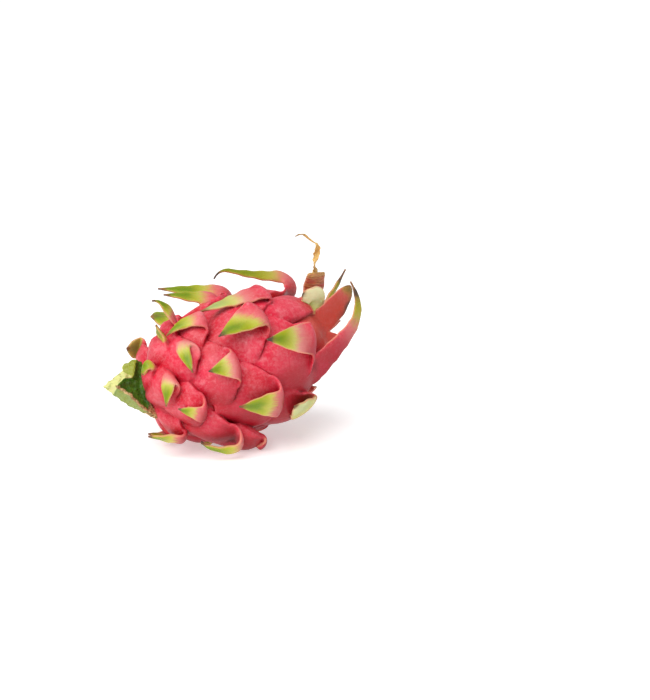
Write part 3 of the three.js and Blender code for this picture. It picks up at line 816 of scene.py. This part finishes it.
@dataclass
class Bract:
    """One scale-like bract, a fleshy pad with a flap that turns back or stands up."""

    number: int
    form: BractForm
    seat: Seat
    edge_thickness: float = 0.9
    fold_thickness: float = 3.0
    tip_thickness: float = 1.4
    crest_arch: float = 0.01
    flap_dish: float = 0.02
    root_droop: float = 8.0
    crest_lip: float = 3.0
    ripple: float = 0.5
    ripple_pitch: float = 0.55
    lip_at: float = 0.88
    lip_length: float = 0.2
    root_from: float = 0.15
    root_length: float = 0.55
    slim_from: float = 0.75
    slim_length: float = 0.45
    samples: int = 240
    rows: tuple[int, int, int] = (12, 14, 18)
    strips: int = 18

    @staticmethod
    def blank(rows: int, strips: int) -> Piece:
        """A flat slab of many small faces, from which each bract is shaped."""
        Bench.clear()
        bpy.ops.mesh.primitive_grid_add(x_subdivisions=rows, y_subdivisions=strips, size=2.0)
        slab = Bench.taken("bract_blank")
        with Bench.editing(slab):
            bpy.ops.mesh.extrude_region_move(TRANSFORM_OT_translate={"value": (0, 0, 1)})
        return slab

    def spine(self) -> Spine:
        """Works out the middle line step by step: a climb, a fold and a flap."""
        form, seat = self.form, self.seat
        fold_run = form.curl * math.radians(form.fold)
        length = form.pad + fold_run + form.flap
        x = np.linspace(0.0, length, self.samples + 1)
        root_at = -0.5 * form.pad
        climb = math.asin(min(0.9, (form.rise + form.sink) / form.pad))
        past = x - form.pad
        folded = ease(past / fold_run)
        on_flap = np.clip((past - fold_run) / form.flap, 0.0, 1.0)
        sweep_start = form.sweep_from * form.pad
        sweep = math.radians(form.sweep) * ease((x - sweep_start) / (length - sweep_start))
        forward = np.outer(np.cos(sweep), seat.forward) + np.outer(np.sin(sweep), seat.side)
        side = np.outer(np.cos(sweep), seat.side) - np.outer(np.sin(sweep), seat.forward)
        yaw = (math.radians(form.yaw) * folded)[:, None]
        yawed = np.cos(yaw) * forward + np.sin(yaw) * side
        across = np.cos(yaw) * side - np.sin(yaw) * forward
        angle = (climb - seat.bend_along * np.minimum(root_at + x, 0.5 * form.pad)
                 + math.radians(form.fold) * folded + math.radians(form.bend) * on_flap
                 + math.radians(form.hook) * np.maximum(0.0, on_flap - 0.7) / 0.3)[:, None]
        roll_run = form.rolled_by * (fold_run + 0.3 * form.flap)
        roll = (math.radians(form.roll) * ease(np.maximum(0.0, past) / roll_run))[:, None]
        heading = np.cos(angle) * yawed + np.sin(angle) * seat.outward
        flat = np.cos(angle) * seat.outward - np.sin(angle) * yawed
        root = (seat.origin + root_at * seat.forward
                - (seat.bend_along * root_at**2 / 2 + form.sink) * seat.outward)
        steps = heading * length / self.samples
        points = root + np.vstack([np.zeros(3), np.cumsum(steps[:-1], axis=0)])
        return Spine(
            points=points,
            across=np.cos(roll) * across + np.sin(roll) * flat,
            normal=np.cos(roll) * flat - np.sin(roll) * across,
            length=length,
            fold_run=fold_run,
            start=seat.forward,
        )

    def half_width(self, x: Array, spine: Spine) -> Array:
        """Half the width at x from the root: an oval pad, a neck, then a pointed flap."""
        form = self.form
        oval = np.sqrt(np.maximum(0.05, 1.0 - ((x / form.pad - 0.5) / 0.62) ** 2))
        crest = math.sqrt(1.0 - (0.5 / 0.62) ** 2)
        along = np.clip((x - form.pad) / (spine.length - form.pad), 0.0, 1.0)
        necked = blend(1.0, form.neck, ease((x - form.pad) / (0.8 * spine.fold_run)))
        flap = form.width * crest * necked * (1.0 - along**form.full) ** form.point
        return np.where(x < form.pad, form.width * oval, np.maximum(0.6, flap))

    def leaning(self, x: Array, spine: Spine) -> Array:
        """How far the flap sits off the middle of a crest that is wider than it is."""
        form = self.form
        spare = 0.59 * form.width * (1.0 - form.neck)
        return form.lean * spare * ease((x - form.pad) / (0.8 * spine.fold_run))

    def surface(self, spine: Spine, x: Array, v: Array, face: Array) -> Array:
        """Points of the bract.

        Args:
            spine: its middle line.
            x: lengths from the root.
            v: places across, from -1 to 1.
            face: -1 for the lower face and 1 for the upper one.

        Returns:
            One point for each entry, in millimetres.
        """
        form, seat = self.form, self.seat
        y = v * self.half_width(x, spine)
        early = self.crest_arch * y * y
        off = self.leaning(x, spine)
        run = np.clip(x + np.where(x < spine.length - 1e-6, early, 0.0), 0.0, spine.length)
        point, across, normal = spine.at(run)
        on_pad = ease(1.0 - (run - form.pad) / spine.fold_run)
        sag = 0.5 * y * y
        rooted = 1.0 - ease((x / form.pad - self.root_from) / self.root_length)
        droop = self.root_droop * rooted * v * v
        lip = bell(x / form.pad, self.lip_at, self.lip_length)
        droop = droop - self.crest_lip * lip * np.abs(v) ** 5
        slim = ease((x - self.slim_from * form.pad) / (self.slim_length * form.pad))
        tipward = np.clip((x - form.pad - spine.fold_run) / form.flap, 0.0, 1.0)
        full = blend(blend(form.thick, self.fold_thickness, slim), self.tip_thickness, tipward)
        swell = np.sqrt(np.clip(1 - v * v, 0, 1))
        thickness = self.edge_thickness + (full - self.edge_thickness) * swell
        phase = 6.3 * draw(self.number, 7)
        wave = np.sin(self.ripple_pitch * x + phase + 1.4 * np.sign(v)) * np.abs(v) ** 2.5
        ripple = self.ripple * wave * (1.0 - on_pad) * (1.0 - tipward**3)
        lift = sag * self.flap_dish * (1.0 - on_pad) + face * thickness / 2 + ripple
        return (point - early[:, None] * spine.start + (y + off)[:, None] * across
                - (sag * (seat.bend_across + form.arch) * on_pad + droop)[:, None] * seat.outward
                + lift[:, None] * normal)

    def build(self, blank: Piece) -> Piece:
        """Shapes a copy of the blank slab into this bract and notes what lies where on it."""
        piece = blank.copy()
        piece.data = blank.data.copy()
        piece.name = f"bract_{self.number}"
        bpy.context.collection.objects.link(piece)
        spine = self.spine()
        flat = Bench.points(piece)
        pads, folds, flaps = self.rows
        row = (flat[:, 0] + 1.0) / 2.0 * (pads + folds + flaps)
        marks = [0.0, self.form.pad, self.form.pad + spine.fold_run, spine.length]
        x = np.interp(row, [0, pads, pads + folds, pads + folds + flaps], marks)
        v = flat[:, 1]
        face = np.where(flat[:, 2] > 0.5, 1.0, -1.0)
        Bench.place(piece, self.surface(spine, x, v, face) * MM)
        past = (x - self.form.pad) / (spine.length - self.form.pad)
        u = np.where(x < self.form.pad, x / self.form.pad - 1.0, past)
        Bench.note(piece, "growth", (u, v, self.number))
        Bench.note(piece, "grain", (v * self.half_width(x, spine), x, self.number))
        return piece


# ---------------------------------------------------------------- whole fruit


class MeshFineness(Enum):
    """Size of the finest detail that is kept when the bracts are grown into the body."""

    LOOK = 0.85
    FULL = 0.5


class Source:
    """The parts before they were grown together, to look up what lies where."""

    def __init__(self, piece: Piece) -> None:
        """Keeps the triangles of a piece and what is noted on their corners."""
        mesh = piece.data
        mesh.calc_loop_triangles()
        corners = np.empty(len(mesh.loop_triangles) * 3, dtype=np.int64)
        mesh.loop_triangles.foreach_get("vertices", corners)
        self.corners = corners.reshape(-1, 3)
        self.points = Bench.points(piece)
        self.growth = Bench.noted(piece, "growth")
        self.grain = Bench.noted(piece, "grain")
        self.tree = BVHTree.FromPolygons(self.points.tolist(), self.corners.tolist())

    def find(self, points: Array) -> tuple[Array, Array]:
        """What is noted at the nearest place of the source.

        Args:
            points: places to look up, in metres.

        Returns:
            The growth and grain there, one row for each point.
        """
        found = [self.tree.find_nearest(Vector(p)) for p in points]
        near = np.array([tuple(hit[0]) for hit in found])
        corners = self.corners[[hit[2] for hit in found]]
        a, b, c = (self.points[corners[:, k]] for k in range(3))
        whole = np.cross(b - a, c - a)
        area = np.maximum(np.einsum("ij,ij->i", whole, whole), 1e-30)
        wb = np.clip(np.einsum("ij,ij->i", np.cross(near - a, c - a), whole) / area, 0, 1)
        wc = np.clip(np.einsum("ij,ij->i", np.cross(b - a, near - a), whole) / area, 0, 1)
        wa = np.clip(1 - wb - wc, 0, 1)
        weights = np.column_stack([wa, wb, wc])
        weights /= weights.sum(axis=1, keepdims=True)
        return (np.einsum("ij,ijk->ik", weights, self.growth[corners]),
                np.einsum("ij,ijk->ik", weights, self.grain[corners]))


@dataclass(frozen=True)
class Marks:
    """Where the marks on a bract lie, as parts of its flap's length or of its half width."""

    green_lead: float = 0.16
    green_run: float = 0.6
    pale_lead: float = 0.04
    pale_band: float = 0.12
    dry_lead: float = 0.06
    dry_band: float = 0.08
    singe_at: float = 0.7
    singe_length: float = 0.22
    rim_from: float = 0.9
    rim_band: float = 0.08


@dataclass
class Fruit:
    """The body with all its bracts grown into it as one skin."""

    body: FruitBody = field(default_factory=FruitBody)
    bract_count: int = 47
    golden_turn: float = 137.508
    first_turn: float = 330.62
    first_run: float = 13.0
    run_step: float = 2.95
    spread: tuple[float, float, float] = (1.2, 3.0, 12.0)
    scar_reach: float = 9.0
    sunk_depth: float = 0.8
    proud_height: float = 1.2
    marks: Marks = Marks()
    most_triangles: int = 188_000
    # Direction of the side that is painted a deeper red, as painted shade.
    shade_side: tuple[float, float, float] = (0.42, -0.3, -0.86)

    def turn_of(self, index: int) -> float:
        """Angle of a bract round the axis, in degrees from the top toward the front."""
        return self.first_turn - self.golden_turn * index

    def form_of(self, index: int) -> BractForm:
        """The general rule of growth, with what one bract did differently on top."""
        grown = min(1.0, index / 16)
        under = max(0.0, 1.0 - abs(self.turn_of(index) % 360 - 180) / 60)
        form = BractForm(
            pad=22 + 12 * grown,
            width=13 + 4.5 * grown,
            flap=(14 + 12 * grown) * (1 + 0.15 * draw(index, 1)),
            rise=(4 + 1.5 * grown) * (1 - 0.6 * under),
            thick=6.5 + 3 * grown,
            arch=0.008 + 0.022 * (1 - grown),
            curl=(3 + 0.8 * grown) * (1 - 0.3 * under),
        )
        if index not in GROWN:
            shift, turn, yaw = (reach * draw(index, k + 2) for k, reach in enumerate(self.spread))
            form = replace(form, shift=shift, turn=turn, yaw=yaw)
        if index >= CROWN_FROM:
            crown = min(1.0, (index - CROWN_FROM) / 6)
            form = replace(
                form, pad=26 - 6 * crown, width=14 - 5 * crown, flap=18 - 8 * crown,
                fold=60 - 40 * crown, curl=8 + 8 * crown, rise=2.5, full=1.6,
            )
        return replace(form, **GROWN.get(index, {}))

    def tint_of(self, index: int) -> BractTint:
        """How a bract ripened."""
        if index in RIPENED:
            return RIPENED[index]
        if index >= CROWN_FROM:
            return BractTint(green=0.7 + 0.1 * draw(index, 5), pale=0.1, olive=0.7, dry=0.85)
        return BractTint(green=0.42 + 0.08 * draw(index, 5), pale=0.6 + 0.4 * draw(index, 6))

    def bract(self, index: int) -> Bract:
        """Bract number index, placed on the body."""
        form = self.form_of(index)
        stations, runs = self.body.meridian()
        a = float(np.interp(self.first_run + self.run_step * index, runs, stations)) + form.shift
        a = min(max(a, 1 - self.body.stem_reach), self.body.flower_reach - 1)
        seat = self.body.seat(a, math.radians(self.turn_of(index) + form.turn))
        return Bract(index, form, seat)

    def tip_of(self, index: int) -> Array:
        """The tip of a bract, in millimetres."""
        return self.bract(index).spine().points[-1]

    def build(self) -> Piece:
        """Builds the fruit, grows its parts together and colours its skin."""
        blank = Bract.blank(sum(Bract.rows), Bract.strips)
        parts = [self.body.build()]
        parts += [self.bract(index).build(blank) for index in range(self.bract_count)]
        bpy.data.objects.remove(blank)
        fruit = Bench.join(parts, "dragon_fruit")
        with Bench.editing(fruit):
            bpy.ops.mesh.normals_make_consistent(inside=False)
        grown_from = Source(fruit)
        self.grow_together(fruit)
        fruit = Bench.keep_largest(fruit)
        self.colour(fruit, grown_from)
        fruit.data.materials.clear()
        fruit.data.materials.append(SkinFinish().make())
        Bench.hand_over(fruit, "fruit", "skin")
        return fruit

    def grow_together(self, fruit: Piece) -> None:
        """Makes one closed skin of the body and its bracts, resting level."""
        fineness = MeshFineness.FULL
        Bench.apply(fruit, "REMESH", mode="VOXEL", voxel_size=fineness.value * MM)
        Bench.apply(fruit, "SMOOTH", factor=0.5, iterations=3)
        faces = 2 * len(fruit.data.polygons)
        LOG.info("skin grown together: %d triangles before thinning", faces)
        if faces > self.most_triangles:
            Bench.apply(fruit, "DECIMATE", ratio=self.most_triangles / faces)
        Bench.cut_level(fruit)

    def colour(self, fruit: Piece, source: Source) -> None:
        """Notes on each vertex how ripe, dry, sunk or proud the skin is there. It also notes where
        shade is painted, in creases and on the side turned from the light, where a sheen is painted
        on ridges, and where thin pale leaves are painted lighter.
        """
        points = Bench.points(fruit) / MM
        growth, grain = source.find(points * MM)
        u, v, number = growth[:, 0], growth[:, 1], np.rint(growth[:, 2]).astype(int)
        tints = [self.tint_of(i) for i in range(self.bract_count)] + [BractTint(green=9.0)]
        green_at, skew, pale_by, olive, dry_from, pith_and_glow, singe = (
            np.array([getattr(t, key) for t in tints])[number]
            for key in ("green", "skew", "pale", "olive", "dry", "pith_and_glow", "singe")
        )
        marks = self.marks
        reach = u + skew * v
        green = np.clip((reach - green_at + marks.green_lead) / marks.green_run, 0.0, 1.0)
        green = green * (u > -0.1)
        pale = pale_by * bell(reach, green_at - marks.pale_lead, marks.pale_band) * (u > 0)
        singed = singe * ease((v - 0.5) / 0.3) * bell(u, marks.singe_at, marks.singe_length)
        dry = np.maximum(ease((u - dry_from + marks.dry_lead) / marks.dry_band), singed)
        rim = ease((np.abs(v) - marks.rim_from) / marks.rim_band)
        edge = rim * ease((u - 0.1) / 0.3) * (number >= 0)
        links = Bench.links(fruit)
        normals = Bench.normals(fruit)
        low = Bench.averaged(points, links, 40)
        proud = np.einsum("ij,ij->i", points - low, normals)
        proud = Bench.averaged(proud, links, 2)
        facing = Bench.averaged(normals, links, 12)
        # Painted shade: skin that faces the shade side is marked to be painted darker.
        shaded = ease((facing @ np.array(self.shade_side) + 0.15) / 0.9)
        middle = ease((1.0 - np.abs(v)) / 0.8)
        crown = ease((number - 33.5) / 3.0) * ease((u + 0.8) / 0.6)
        away = np.linalg.norm(points - self.scar_at(), axis=1)
        scar = ease(1.0 - away / self.scar_reach)
        husk = (number == TRUNK) * ease((u + 0.7) / 0.5)
        Bench.note(fruit, "ripening", (green, np.clip(pale, 0, 1), dry), 2)
        # Painted shade in sunk creases, and a painted sheen on proud ridges.
        painted_shade = ease(-proud / self.sunk_depth)
        Bench.note(fruit, "relief", (painted_shade, ease(proud / self.proud_height), edge))
        Bench.note(fruit, "ageing", (crown, olive, scar), 3)
        # The light attribute holds the middle of each flap, the side painted in shade, and pith
        # that is partly painted lighter as if light shone through it.
        Bench.note(fruit, "light", (middle, shaded, pith_and_glow * green), 2)
        Bench.note(fruit, "wrinkled", (husk,))
        Bench.note(fruit, "grain", tuple(grain.T))

    def scar_at(self) -> Array:
        """Middle of the flower scar."""
        return np.array(self.body.centre) + (self.body.flower_reach - 4) * self.body.along


# ---------------------------------------------------------------- chip of stem

Corner = tuple[float, float, float]
CHIP_SECTIONS: tuple[tuple[Corner, Corner, Corner, Corner], ...] = (
    ((-4, 22.6, -9), (-3.6, 23.7, -4), (0.3, 26.9, -3), (1, 24.8, -9)),
    ((-3.2, 16.6, -9), (-2.1, 17.7, -2), (7, 19, 4), (10.2, 24.9, -6)),
    ((-2.3, 13.1, -9), (-1.4, 14, 0), (13.3, 21.4, 6), (11.2, 22.4, -4)),
    ((-1.1, 9.9, -8), (-0.4, 10.8, 1), (19.5, 17.2, 5), (26.4, 17.2, -3)),
    ((-0.2, 5.3, -7), (0.3, 7.4, 2), (14.1, 11.1, 9), (20.9, 9.2, -4)),
    ((-0.2, 0.7, -5), (0.6, 2, 4), (10, 3, 10), (13.6, -0.4, -1)),
    ((-1, -5.5, -3), (-0.5, -4.6, 5), (5, -4.4, 9), (7, -6.1, 3)),
    ((-3.1, -10.6, 0), (-4.5, -9.7, 5), (-1.9, -9.9, 8), (0.2, -12.6, 6)),
)


@dataclass
class StemChip:
    """The wedge of cactus stem that stayed on when the fruit was cut off.

    Lengths are in millimetres. What ends in from or until counts sections from the back.
    """

    body: FruitBody = field(default_factory=FruitBody)
    hollow: float = 2.2
    grain_size: float = 0.55
    edge_round: float = 0.7
    lump_height: float = 0.35
    crumb_height: float = 0.18
    cut_until: float = 3.35
    under_from: float = 2.9
    cork_from: float = 2.6
    corky_tip_from: float = 5.6
    corky_edge_from: float = 3.4
    cork_width: float = 2.4

    def at(self, corner: Corner) -> Array:
        """A point given from the stem pole: out of the fruit, up, and toward the front."""
        out, up, front = corner
        body = self.body
        return (np.array(body.centre) - (body.stem_reach + out) * body.along
                + up * body.upward + front * body.front)

    def wedge(self) -> Piece:
        """Rolls a small grid into the wedge and closes its ends."""
        Bench.clear()
        last = len(CHIP_SECTIONS) - 1
        bpy.ops.mesh.primitive_grid_add(x_subdivisions=last, y_subdivisions=4, size=2.0)
        chip = Bench.taken("stem_wedge")
        flat = Bench.points(chip)
        section = np.rint((flat[:, 0] + 1) / 2 * last).astype(int)
        corner = np.rint((flat[:, 1] + 1) / 2 * 4).astype(int) % 4
        corners = [self.at(CHIP_SECTIONS[s][c]) for s, c in zip(section, corner)]
        Bench.place(chip, np.array(corners) * MM)
        with Bench.editing(chip):
            bpy.ops.mesh.remove_doubles(threshold=0.00001)
            bpy.ops.mesh.fill_holes(sides=0)
            bpy.ops.mesh.quads_convert_to_tris()
            bpy.ops.mesh.normals_make_consistent(inside=False)
        return chip

    def lines(self) -> dict[str, Array]:
        """The long edges of the chip, as points in millimetres."""
        return {
            name: np.array([self.at(section[k]) for section in CHIP_SECTIONS])
            for k, name in enumerate(("seat_back", "seat_front", "rib", "outer"))
        }

    def build(self) -> Piece:
        """Builds the chip, hollows its skin side and colours it by side."""
        chip = self.wedge()
        Bench.apply(chip, "BEVEL", width=self.edge_round * MM, segments=3,
                    limit_method="ANGLE", angle_limit=0.35)
        Bench.apply(chip, "REMESH", mode="VOXEL", voxel_size=self.grain_size * MM)
        Bench.apply(chip, "SMOOTH", factor=0.5, iterations=2)
        chip.name = "stem_chip_flesh"
        points = Bench.points(chip) / MM
        links = Bench.links(chip)
        edges = self.lines()
        rib, along = nearest_on(points, edges["rib"])
        outer, _ = nearest_on(points, edges["outer"])
        seat, _ = nearest_on(points, edges["seat_front"])
        side = Bench.averaged(self.side_of(points, along, edges), links, 8)
        skin = ease(0.5 + side / 1.2)
        inner = Bench.averaged(skin * ease(rib / 5.0) * ease(seat / 4.0), links, 6)
        lumps = crossed_waves(points, (0.9, 0.5, 0.7), (-0.4, 0.8, 0.9), 1.0)
        crumbs = crossed_waves(points, (2.1, -1.7, 1.9), (1.8, 2.3, -1.6), 0.0)
        push = -self.hollow * inner + self.lump_height * lumps + self.crumb_height * crumbs
        Bench.place(chip, (points + push[:, None] * Bench.normals(chip)) * MM)
        cut = Bench.averaged((1 - skin) * ease((self.cut_until - along) / 0.5), links, 2)
        under = Bench.averaged((1 - skin) * ease((along - self.under_from) / 0.5), links, 2)
        cork = np.maximum(bell(rib, 0, self.cork_width) * ease((along - self.cork_from) / 0.6),
                          ease((along - self.corky_tip_from) / 1.0))
        corky_edge = 0.45 * bell(outer, 0, 2.0) * ease((along - self.corky_edge_from) / 0.6)
        cork = np.maximum(cork, corky_edge)
        Bench.note(chip, "faces", (cut, cork, under))
        Bench.note(chip, "wetness", (ease((along - 0.6) / 1.0) + bell(outer, 0, 1.2),), 2)
        chip.data.materials.append(StemFinish().make())
        Bench.hand_over(chip, "stem_chip", "stem")
        return chip

    @staticmethod
    def side_of(points: Array, along: Array, edges: dict[str, Array]) -> Array:
        """How far points lie to the skin side of the rib, in millimetres, negative past it."""
        marks = np.arange(len(CHIP_SECTIONS))
        rib, seat, outer = (
            np.column_stack([np.interp(along, marks, edges[name][:, k]) for k in range(3)])
            for name in ("rib", "seat_front", "outer")
        )
        return np.einsum("ij,ij->i", points - rib, unit(seat - rib) - unit(outer - rib))


def crossed_waves(points: Array, one: Corner, other: Corner, late: float) -> Array:
    """Lumps up to 1 high where two sets of waves cross, the second of them late by an angle."""
    return np.sin(points @ np.array(one)) * np.sin(points @ np.array(other) + late)


def nearest_on(points: Array, line: Array) -> tuple[Array, Array]:
    """Distance to a line of straight stretches, and where along it, in stretches.

    Args:
        points: places to measure from.
        line: the ends of the stretches.

    Returns:
        The distance of each point and its place along the line.
    """
    best = np.full(len(points), np.inf)
    where = np.zeros(len(points))
    for k in range(len(line) - 1):
        run = line[k + 1] - line[k]
        part = np.clip((points - line[k]) @ run / (run @ run), 0.0, 1.0)
        gap = np.linalg.norm(points - line[k] - part[:, None] * run, axis=1)
        closer = gap < best
        best = np.where(closer, gap, best)
        where = np.where(closer, k + part, where)
    return best, where


# ---------------------------------------------------------------- dried ribbon

RIBBON_PATH: tuple[Corner, ...] = (
    (-1.4, 0, -2.2), (-1.6, 0.4, -0.6), (-0.7, 0.6, 1), (-1.9, 0, 3.1), (-2.3, -0.6, 5.9),
    (-0.9, 0, 8.5), (0, 0.6, 12.2), (-0.2, 0.6, 15.6), (-1.1, 0, 18), (-2.3, -0.5, 19.5),
    (-4.8, -0.6, 21), (-9, 0, 24.5), (-10.5, 0.4, 25.7), (-13.3, 0.3, 25.9), (-16.3, 0, 25.1),
)
RIBBON_WIDTHS: tuple[float, ...] = (
    6.2, 3.8, 1.7, 1.3, 1.7, 2.2, 2.4, 2.0, 1.3, 0.9, 1.1, 1.1, 0.9, 0.6, 0.3,
)


@dataclass
class DriedRibbon:
    """What is left of the flower: a crumpled base and a thin twisted ribbon. Millimetres."""

    root: Array
    quarter_turns: float = 3.4
    facing: float = 18.0
    thickness: float = 0.45
    ruffle_height: float = 0.5
    pleat_height: float = 0.9
    cupping: float = 0.5
    rows: int = 150
    strips: int = 8

    def build(self) -> Piece:
        """Shapes a flat grid into the ribbon and gives it thickness."""
        Bench.clear()
        bpy.ops.mesh.primitive_grid_add(
            x_subdivisions=self.rows, y_subdivisions=self.strips, size=2.0
        )
        ribbon = Bench.taken("withered_ribbon")
        flat = Bench.points(ribbon)
        along = (flat[:, 0] + 1) / 2
        v = flat[:, 1]
        slots = np.arange(len(RIBBON_PATH))
        place = along * slots[-1]
        marks = np.array(RIBBON_PATH, dtype=float)
        path = self.smooth_line(marks, place)
        ahead = unit(self.smooth_line(marks, place + 0.05) - self.smooth_line(marks, place - 0.05))
        width = np.interp(place, slots, RIBBON_WIDTHS)
        turned = self.quarter_turns * math.pi / 2 * ease((place - 1.0) / 12.0)
        twist = math.radians(self.facing) + turned
        flatwise = np.column_stack([np.cos(twist), np.sin(twist), np.zeros(len(twist))])
        flatwise -= np.einsum("ij,ij->i", flatwise, ahead)[:, None] * ahead
        flatwise = unit(flatwise)
        normal = np.cross(ahead, flatwise)
        ruffle = self.ruffle_height * np.sin(9.0 * v + 5.0 * place) * np.minimum(width, 2.5) / 2
        pleats = self.pleat_height * np.sin(7.0 * place + 2.2 * v) * ease((2.6 - place) / 2.0)
        cupped = self.cupping * width * v * v * ease((place - 1.0) / 1.5)
        frayed = (1.0 + 0.12 * np.sin(31.0 * along + 3.0 * np.sign(v))
                  + 0.08 * np.sin(77.0 * along))
        points = (self.root + path + (v * width * frayed)[:, None] * flatwise
                  + (ruffle + pleats + cupped)[:, None] * normal)
        Bench.place(ribbon, points * MM)
        age = 0.75 * ease((place - 9.0) / 5.0) + 0.4 * bell(place, 2.6, 1.2)
        Bench.note(ribbon, "paper", (v * width, place * 3.0, age))
        Bench.apply(ribbon, "SOLIDIFY", thickness=self.thickness * MM, offset=0.0)
        Bench.apply(ribbon, "SUBSURF", levels=1, render_levels=1)
        ribbon.data.materials.append(WitheredFinish().make())
        Bench.hand_over(ribbon, "dried_ribbon", "withered")
        return ribbon

    @staticmethod
    def smooth_line(marks: Array, place: Array) -> Array:
        """Points on a smooth curve through marks, at places counted in marks."""
        spread = np.clip(place, 0.0, len(marks) - 1.0)
        low = np.minimum(spread.astype(int), len(marks) - 2)
        t = (spread - low)[:, None]
        padded = np.vstack([2 * marks[0] - marks[1], marks, 2 * marks[-1] - marks[-2]])
        a, b, c, d = (padded[low + k] for k in range(4))
        return 0.5 * (2 * b + (c - a) * t + (2 * a - 5 * b + 4 * c - d) * t**2
                      + (3 * b - a - 3 * c + d) * t**3)


# ---------------------------------------------------------------- studio


@dataclass(frozen=True)
class Studio:
    """A plain pale floor, soft light and the camera."""

    centre: tuple[float, float, float] = (-0.001, 0.00155, 0.048)
    azimuth: float = -28.0
    elevation: float = 15.0
    distance: float = 1.0
    picture: tuple[int, int] = (650, 700)
    centre_seen_at: tuple[float, float] = (236.2, 366.6)
    scale: float = 0.00065
    sensor: float = 36.0
    floor_size: float = 60.0
    floor_gap: float = 0.00005
    floor_glow: float = 0.42
    room_light: float = 0.36
    key_energy: float = 2.7
    key_spread: float = 60.0
    key_tilt: float = 32.0
    key_turn: float = -60.0

    def floor(self) -> None:
        """Lays a wide pale floor with a faint gloss."""
        Bench.clear()
        bpy.ops.mesh.primitive_plane_add(size=self.floor_size, location=(0, 0, 0))
        floor = Bench.taken("floor")
        floor.location.z = -self.floor_gap
        g = Graph("pale_floor")
        speckle = g.noise(g.where(), 40.0, 2.0)
        colour = g.mix(speckle, paint(250, 250, 250), paint(253, 253, 253))
        floor.data.materials.append(g.surface(
            colour, 0.16 + (speckle - 0.5) * 0.02, None, 0.0, Specular_IOR_Level=0.25,
            Emission_Color=(1.0, 1.0, 1.0, 1.0), Emission_Strength=self.floor_glow,
        ))

    def lights(self) -> None:
        """Sets a bright even room and one wide soft light from the upper left."""
        world = bpy.data.worlds.new("white_room")
        world.use_nodes = True
        room = world.node_tree.nodes["Background"]
        room.inputs[0].default_value = (1.0, 1.0, 1.0, 1.0)
        room.inputs[1].default_value = self.room_light
        bpy.context.scene.world = world
        Bench.clear()
        aim = (math.radians(self.key_tilt), 0.0, math.radians(self.key_turn))
        bpy.ops.object.light_add(type="SUN", rotation=aim)
        key = Bench.taken("key_light")
        key.data.energy = self.key_energy
        key.data.angle = math.radians(self.key_spread)
        bpy.context.scene.view_settings.view_transform = "Standard"

    def camera(self) -> None:
        """Places the camera so that the fruit lies where it should in the picture."""
        a, e = math.radians(self.azimuth), math.radians(self.elevation)
        level = math.cos(e)
        ahead = np.array([-math.sin(a) * level, math.cos(a) * level, -math.sin(e)])
        right = np.array([math.cos(a), math.sin(a), 0.0])
        up = np.cross(right, ahead)
        focal = self.distance / self.scale
        width, height = self.picture
        across = (self.centre_seen_at[0] - width / 2) / focal
        above = (height / 2 - self.centre_seen_at[1]) / focal
        eye = np.array(self.centre) - self.distance * (ahead + across * right + above * up)
        Bench.clear()
        bpy.ops.object.camera_add(location=tuple(eye), rotation=(math.pi / 2 - e, 0.0, a))
        camera = Bench.taken("camera")
        camera.data.sensor_width = self.sensor
        camera.data.lens = focal * self.sensor / max(width, height)
        camera.data.clip_start = 0.01
        camera.data.clip_end = 200.0
        bpy.context.scene.camera = camera


def main() -> None:
    """Builds every piece in order."""
    logging.basicConfig(level=logging.INFO, format="%(name)s %(message)s")
    studio = Studio()
    studio.camera()
    fruit = Fruit()
    fruit.build()
    StemChip().build()
    DriedRibbon(root=fruit.tip_of(TRUNK)).build()
    studio.floor()
    studio.lights()


if __name__ == "__main__":
    main()
